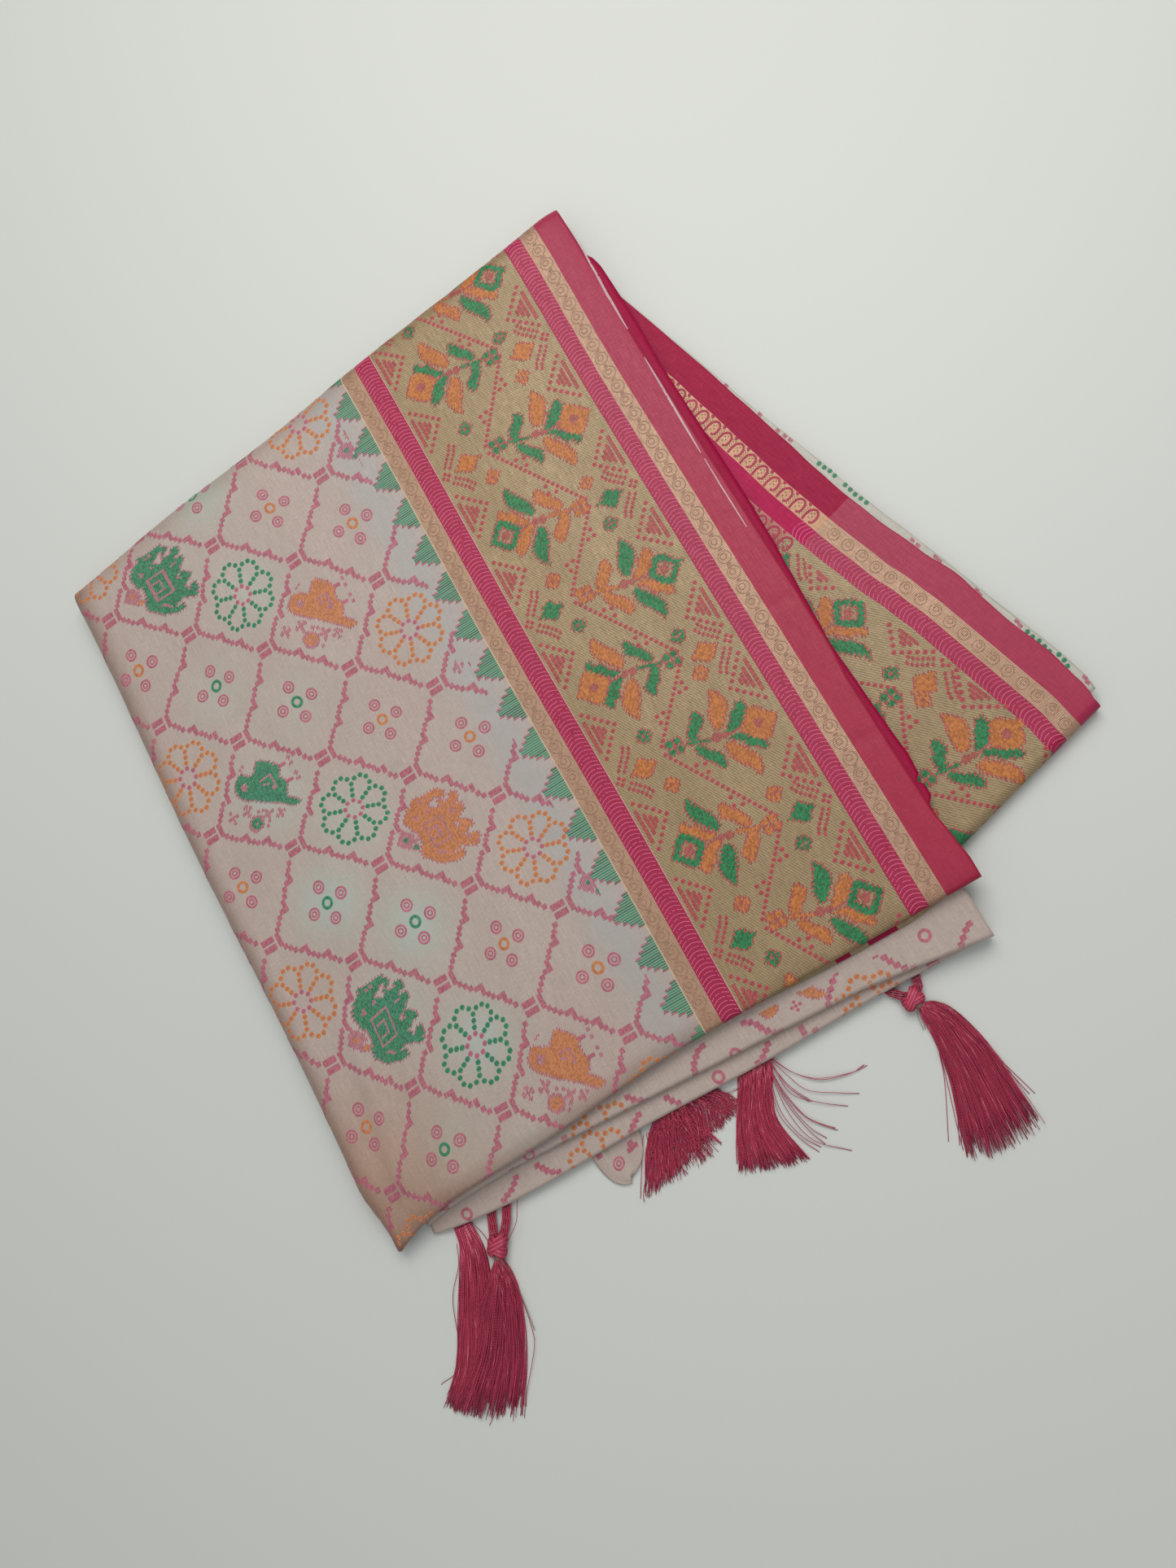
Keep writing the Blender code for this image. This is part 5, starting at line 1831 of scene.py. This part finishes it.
# Rayon silk of the tassels, whose twist carries painted glints, the dull thread wound round them, and
# the stack's edges, where every layer is a line
rose_silk = tassel_silk("dark_rose_tassel_silk", "BC3656", "68122E", "E898A8")
khaki_thread = tassel_silk("khaki_binding_thread", "8C7660", "5A4838", "B0A088")
layers_silk = layer_edges("stacked_layer_edges")


def panel_band(x, y):
    return sum(x > line for line in BAND_LINES)


def fan_band(w, length):
    wave = fan_wave(max(length, 0.0))
    band = sum(w > wave + line for line in FAN_BANDS)
    return band + (4 if length > PALLU_START + (0.0 if band else MOTTLED_LATER) else 0)


def turned_band(x, y):
    """Pink shows at two places along the turned edge."""
    return 1 if 0.0955 < x < 0.103 or 0.114 < x < 0.131 else 0


def glow(x, y, places, radius):
    """How near a point in the fabric is to any of some places, from 0 to 1."""
    return min(1.0, sum(exp(-((MM * x - px) ** 2 + (MM * y - py) ** 2) / radius ** 2)
                        for px, py in places))


mint_places = [lattice(across, down) for across in GREEN_COLUMNS for down in range(-6, 8)
               if (across + down) % 2]
slate_places = [(5.0, TEMPLE_FIRST + TEMPLE_PITCH * k) for k in range(-9, 10)]


def panel_tints(x, y):
    # shade is painted shade: the silk is darker towards the left, near and far folds
    dark = 0.7 * ease(x, -0.178, -0.194) + 0.6 * ease(y, near_fold_y(x) + 0.012, near_fold_y(x) + 0.001)
    dark += 0.35 * ease(y, far_fold_y(x) - 0.018, far_fold_y(x) - 0.004)
    mint = glow(x, y, mint_places, 21.0) * (0.65 + 0.35 * sin(31.0 * x + 17.0 * y))
    warm = 0.9 * ease(x, -0.090, -0.185) * ease(y, -0.090, -0.215) + 0.15 * ease(y, -0.120, -0.200)
    # rani is 1 towards the near fold and 0 towards the far one, where the outer pink is left paler as a
    # painted sheen
    return {"mint": mint, "slate": 0.8 * glow(x, y, slate_places, 15.0), "warm": min(warm, 1.0),
            "shade": min(dark, 1.0), "rani": ease(y, 0.16, -0.02)}


panel = top_panel()
upper = near_strip("upper_strip_silk", upper_strip_y, UPPER_STRIP)
lower = near_strip("lower_strip_silk", lower_strip_y, LOWER_STRIP)
fan = fan_panel()
fan_under = fan_under_panel()
flap = corner_flap()
band_silks = [body_silk, cream_line, zari, magenta, pink_line, gold_silk, magenta, zari, outer_pink]
fan_silks = [gold_silk, magenta, zari, outer_pink, mottled, pallu_magenta, pale_zari, rani_pink]
cloths = (
    (panel, "top_panel", "silver_beige_brocade", band_silks, panel_band, panel_tints),
    (second_panel(), "second_panel", "rani_pink_silk", [rani_pink], None, None),
    (turned_edge(), "turned_edge", "gold_brocade", [gold_silk, rani_pink], turned_band, None),
    (upper, "upper_strip", "silver_beige_brocade", [body_silk], None, None),
    (lower, "lower_strip", "silver_beige_brocade", [body_silk], None, None),
    (fan, "fan_panel", "gold_brocade", fan_silks, fan_band, None),
    (fan_under, "fan_under_panel", "silver_beige_brocade", [pale_silk], None, None),
    (flap, "corner_flap", "silver_beige_brocade", [body_silk], None, None),
)


# What is woven into each stretch
def scales(chart, low, high, start, end, wave=None):
    """Arcs one above another, like fish scales, across the magenta band."""
    y = start
    steps, pitch = 11, 2.42
    while y < end:
        shift = MM * wave(y / MM) if wave else 0.0
        arc = [(shift + low + (high - low) * k / steps, y + 2.0 * (1.0 - (2.0 * k / steps - 1.0) ** 2))
               for k in range(steps + 1)]
        chart.arcs.append((arc, MAUVE))
        y += pitch


def chain(chart, x, start, end):
    """Rings linked in a chain along the zari band."""
    y = start
    pitch = 9.8
    while y < end:
        chart.rings += [(x, y, 3.9, 3.3, PALE), (x - 0.4, y + 0.6, 2.0, 1.3, PALE)]
        chart.block(x, y + pitch / 2.0, 2.4, 1.0, PALE)
        y += pitch


# The painted highlight along the selvedge's edge: how far its strands spread, and the line it follows
GLINT_RUNS = (
    (0.75, (177.9, 209), (177.5, 190), (177.1, 172), (177.3, 147)),
    (0.60, (177.2, 127), (176.6, 104), (176.0, 86), (175.3, 61)),
    (0.25, (175.3, 57), (174.9, 40), (174.8, 11)),
)


def paint_selvedge_glint(chart):
    """Fine pale strands along the selvedge's edge, which paint its highlight and spread apart along each
    stretch.
    """
    for wide, *way in GLINT_RUNS:
        top, end = way[0][1], way[-1][1]
        for (x0, y0), (x1, y1) in zip(way, way[1:]):
            parts = round((y0 - y1) / 1.3)
            for side in (-1.0, -0.33, 0.33, 1.0):
                strand = []
                for k in range(parts + 1):
                    y = y0 + (y1 - y0) * k / parts
                    spread_by = 0.0
                    if end < y < top:
                        spread_by = wide * sin(pi * (top - y) / (top - end)) ** 0.7
                    strand.append((x0 + (x1 - x0) * k / parts + side * spread_by * 0.7, y))
                chart.arcs.append((strand, SELVEDGE_GLINT))


SCROLL = (
    (-4.8, 3.0), (-1.5, 3.2), (1.6, 2.7), (3.4, 1.0), (3.6, -0.9), (2.1, -2.6), (-1.0, -3.1), (-3.2, -2.5),
    (-3.8, -0.8)
)


def pallu_scrolls(chart):
    """Scrolls on the pallu's zari bands, each over a net of fine dots."""
    for k in range(-1, 13):
        length = 183.8 + 9.42 * k
        wave = MM * fan_wave(length / MM)
        for w in (wave - 4.6, ) if k > 4 else (wave - 4.6, wave - 24.6, wave - 34.0):
            chart.arcs.append(([(w + dw, length + dl) for dw, dl in SCROLL], ROSE))
            chart.block(w + 4.1, length + 4.9, 1.6, 1.5, ROSE)
            for dw, dl in ((-1.9, 0.9), (-0.5, -0.5), (0.6, 0.9), (1.7, -0.4)):
                chart.beads.append((w + dw, length + dl, 0.42, GREEN))
            chart.beads += [(w - 3.6 + 1.5 * i + 0.7 * (j % 2), length + 3.7 + 1.05 * j, 0.34, GREEN)
                            for j in range(3) for i in range(5)]


def fan_chain(chart):
    """Rings along the fan's zari band."""
    for k in range(17):
        length = 5.0 + 9.6 * k
        w = MM * fan_wave(length / MM) - 4.9
        thick = k < 2
        chart.rings += [(w, length, 3.4, 2.7 if thick else 2.9, PALE),
                        (w + 0.6, length, 1.6, 0.8 if thick else 1.1, PALE)]


body_solids = Chart()
body_lines = Chart()
body(body_solids, body_lines, range(-3, 4), range(-6, 9))
body_solids.edge((ORANGE, GREEN), ROSE)
body_lines.ticks += body_solids.ticks
body_solids.ticks = []
for chart in (body_lines, body_solids):
    chart.keep(lambda x, y: x < 8.4)
temple_chart = Chart()
temples(temple_chart, 20.7, -225.0, 245.0)
border_chart = Chart()
border(border_chart, [(292, True), (187.5, False), (80.5, True), (-22, False), (-125, True), (-229, False)],
       [(231, True), (127, False), (23.6, True), (-76, False), (-181, True)], 93.3)
border_chart.edge((ORANGE, GREEN), ROSE)
border_chart.keep(lambda x, y: 44.4 < x < 140.4)
fan_chart = Chart()
border(fan_chart, [(-23, True), (76, False), (172, True)],
       [(-72, True), (25, False), (121, True), (218, False)], -77.0)
fan_chart.edge((ORANGE, GREEN), ROSE)
scale_chart = Chart()
scales(scale_chart, 32.1, 42.3, -222.0, 235.0)
scales(scale_chart, 141.8, 151.1, -222.0, 240.0)
chain(scale_chart, 26.0, -222.0, 235.0)
chain(scale_chart, 156.6, -222.0, 240.0)
painted_glint_chart = Chart()
paint_selvedge_glint(painted_glint_chart)
fan_scales = Chart()
scales(fan_scales, -19.3, -10.1, -14.0, 176.0, fan_wave)
pallu_scrolls(fan_scales)
fan_chain(fan_scales)


def panel_shows(x, y):
    low_y, high_y = panel_limits(x + BAND_LEAN * y)
    return x > PANEL_START - 0.024 and low_y - 0.007 < y < high_y + 0.024


def fan_shows(w, length):
    inner = fan_inner(max(length, FAN_START)) + 0.001
    return inner < w < along_table(FAN_EDGE, max(length, 0.0)) - 0.001 and length > -0.012


def fan_gold_shows(w, length):
    return (fan_shows(w, length) and w < fan_wave(max(length, 0.0)) - 0.0205
            and length < PALLU_START + MOTTLED_LATER)


# What shows on the near strips. Places are (x, y) as seen from above, in mm
def steps(chart, *places):
    for x, y in places:
        chart.block(x, y, 3.4, 2.6, ROSE)


upper_chart = Chart(0.9)
lower_chart = Chart(0.9)
for chart, x, y in ((upper_chart, -55, -232), (upper_chart, 100, -241), (lower_chart, -65, -243),
                    (lower_chart, 101, -247)):
    chart.lay(ROSETTE, x, y, 1.0, {GREEN: ORANGE})
steps(upper_chart, (-158, -219), (-155, -220), (-111, -220.3), (-107, -221.3), (-79, -221.5), (-76, -219),
      (-34.5, -216.5), (-32.5, -219), (-29.5, -221), (-27, -222.8), (3, -223.5), (4, -221), (5.5, -218),
      (8, -215.5), (10.5, -213.5), (14, -212.6), (39, -212.5), (42, -214), (44.5, -216.5), (45.5, -219.2),
      (47.5, -222), (50, -224.5), (53.5, -225.5), (81.5, -225.4), (83.5, -222.5), (86.5, -219.5),
      (89.5, -216.5), (92.5, -213.5), (112, -213), (114.5, -216), (118, -219), (119.5, -222),
      (121.5, -225), (124, -228), (128, -230), (154, -231.5), (156.5, -229), (159.5, -226.5),
      (162.5, -225), (166.5, -221))
upper_chart.fill([(69, -209), (76, -209), (79, -214), (83, -220.5), (77.5, -220), (73, -215)], ORANGE)
upper_chart.fill([(48, -212), (56, -211), (58.5, -214), (55, -217.5), (51.5, -216.5)], ORANGE)
upper_chart.edge((ORANGE, ), ROSE)
upper_chart.rings += [(27, -224.5, 3.6, 1.9, ROSE), (141, -219.5, 3.6, 1.9, ROSE),
                      (150.5, -212, 3.6, 1.9, ROSE), (140.5, -210.5, 3.6, 1.4, GREEN),
                      (-98, -217.5, 3.6, 1.9, ROSE)]
upper_chart.beads += [(66.8 + dx, -218.0 + dy, 1.1, ROSE)
                      for dx, dy in ((0, 0), (-2.4, 0), (2.4, 0), (0, 2.2), (0, -2.2))]
steps(lower_chart, (-177, -227.5), (-124.5, -231.5), (-121.5, -230), (-118, -228.6), (-115, -226.4),
      (-112.5, -224), (-98.5, -224), (-96.5, -226.6), (-95, -229), (-92.5, -231), (-89.5, -232.6),
      (-43.5, -232.8), (-41, -230.6), (-38.5, -228.8), (-35.5, -227), (-17.5, -226.5), (-15.8, -229.2),
      (-13.5, -232),
      (34, -233.5), (38, -232), (41, -229.8), (43.5, -227.6), (68.5, -233.5), (135.5, -233), (139, -233))
lower_chart.block(62.8, -230.4, 3.2, 6.0, ROSE)
lower_chart.rings += [(-147.5, -228.2, 3.6, 1.9, ROSE), (12.2, -230.0, 3.7, 1.9, ROSE),
                      (148.0, -226.5, 3.4, 1.3, ROSE)]
# The strips' near folds as seen from above, (x, y)
UPPER_SEEN = (
    (-170, -222.1), (-150, -218.8), (-120, -217.2), (-90, -217.5), (-60, -218.7), (-30, -219.8),
    (0, -221.0), (30, -222.2), (60, -223.4), (90, -224.6), (120, -227.4), (150, -231.0), (180, -235)
)
LOWER_SEEN = (
    (-170, -228.1), (-150, -230.6), (-120, -232.4), (-90, -232.7), (-60, -232.0), (-30, -231.7),
    (0, -232.3), (30, -232.8), (60, -232.5), (90, -231.8), (120, -231.8), (150, -232.5), (180, -233)
)


def seen_on_strip(table):
    """From a place seen from above to a place on a strip's cloth, which rolls under."""
    def move(x, y):
        off = y - along_table(table, x)
        return x - 0.001, off if off > 0.0 else 1.3 * off
    return move


def strip_shows(table):
    def shows(x, y):
        off = y - along_table(table, x)
        return -0.0042 < off < 0.011 and -0.1705 < x < STRIP_RIGHT_X
    return shows


flap_chart = Chart()
flap_chart.rings += [(3.0, 33.0, 3.6, 2.4, ROSE), (3.0, 33.0, 1.8, 0.8, ROSE)]
steps(flap_chart, (-6.0, 30.5), (-9.5, 30.0), (-7.5, 27.5), (11.0, 24.0))
under_chart = Chart()
under_chart.beads += [(w, length, 1.5, GREEN) for w, length in (
    (3.2, 24), (4.4, 27.2), (4.9, 31), (3.0, 35.5), (3.4, 39), (3.8, 42.8), (3.2, 46.6), (3.6, 50.2),
    (1.4, 158), (1.2, 161.8), (0.9, 165.6), (1.2, 169.4), (1.4, 173.2), (1.6, 181), (1.9, 184.8),
    (1.4, 188.4), (1.2, 192))]
for w, length in ((4.4, 14), (3.4, 11.5), (3.6, 55), (4.2, 57.5), (2.6, 81), (3.2, 83.4), (2.6, 108),
                  (2.8, 111), (1.6, 122), (1.8, 126), (1.0, 213), (0.8, 217), (0.6, 222), (1.2, 236),
                  (1.4, 262)):
    under_chart.block(w, length, 1.9, 2.6, ROSE)

# The same for the fan, measured from its corner
FAN_DRAG = ((-50, 25, 1.9, 4.2), (-50, 72, -1.0, 7.5), (-50, 121, -4.6, 9.8), (-40, 170, -4.0, 10))
body_drag = dragged(BODY_DRAG)


def lay(name, cloth, seed, chart, silks, move=None, keep=None):
    stitches = Stitches(cloth, seed, move)
    stitches.lay(chart, keep)
    obj = stitches.build(name, silks)
    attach(obj, "root")


lay("body_motifs", panel, 31, body_solids, threads, body_drag, panel_shows)
lay("body_trellis", panel, 32, body_lines, threads, body_drag, panel_shows)
lay("temple_motifs", panel, 33, temple_chart, threads, None, panel_shows)
lay("border_motifs", panel, 34, border_chart, border_threads, None, panel_shows)
lay("band_motifs", panel, 35, scale_chart, threads, None, panel_shows)
lay("selvedge_painted_glint", panel, 41, painted_glint_chart, border_threads, None, panel_shows)
lay("fan_motifs", fan, 36, fan_chart, border_threads, dragged(FAN_DRAG), fan_gold_shows)
lay("fan_bands", fan, 37, fan_scales, pallu_threads, None, fan_shows)
lay("flap_motifs", flap, 42, flap_chart, threads)
lay("fan_under_motifs", fan_under, 38, under_chart, threads)
lay("upper_strip_motifs", upper, 39, upper_chart, threads,
    seen_on_strip(UPPER_SEEN), strip_shows(UPPER_SEEN))
lay("lower_strip_motifs", lower, 40, lower_chart, threads,
    seen_on_strip(LOWER_SEEN), strip_shows(LOWER_SEEN))

for cloth, node, slot, silks, pick, tints in cloths:
    obj = cloth.build(silks, pick, tints)
    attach(obj, "root")
    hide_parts(node)
    flat, area = cloth.cut()
core = folded_layers(layers_silk)
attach(core, "root")
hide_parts("folded_layers")
for obj, node in tassels(rose_silk, khaki_thread):
    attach(obj, "root")
    if node:
        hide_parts(node)
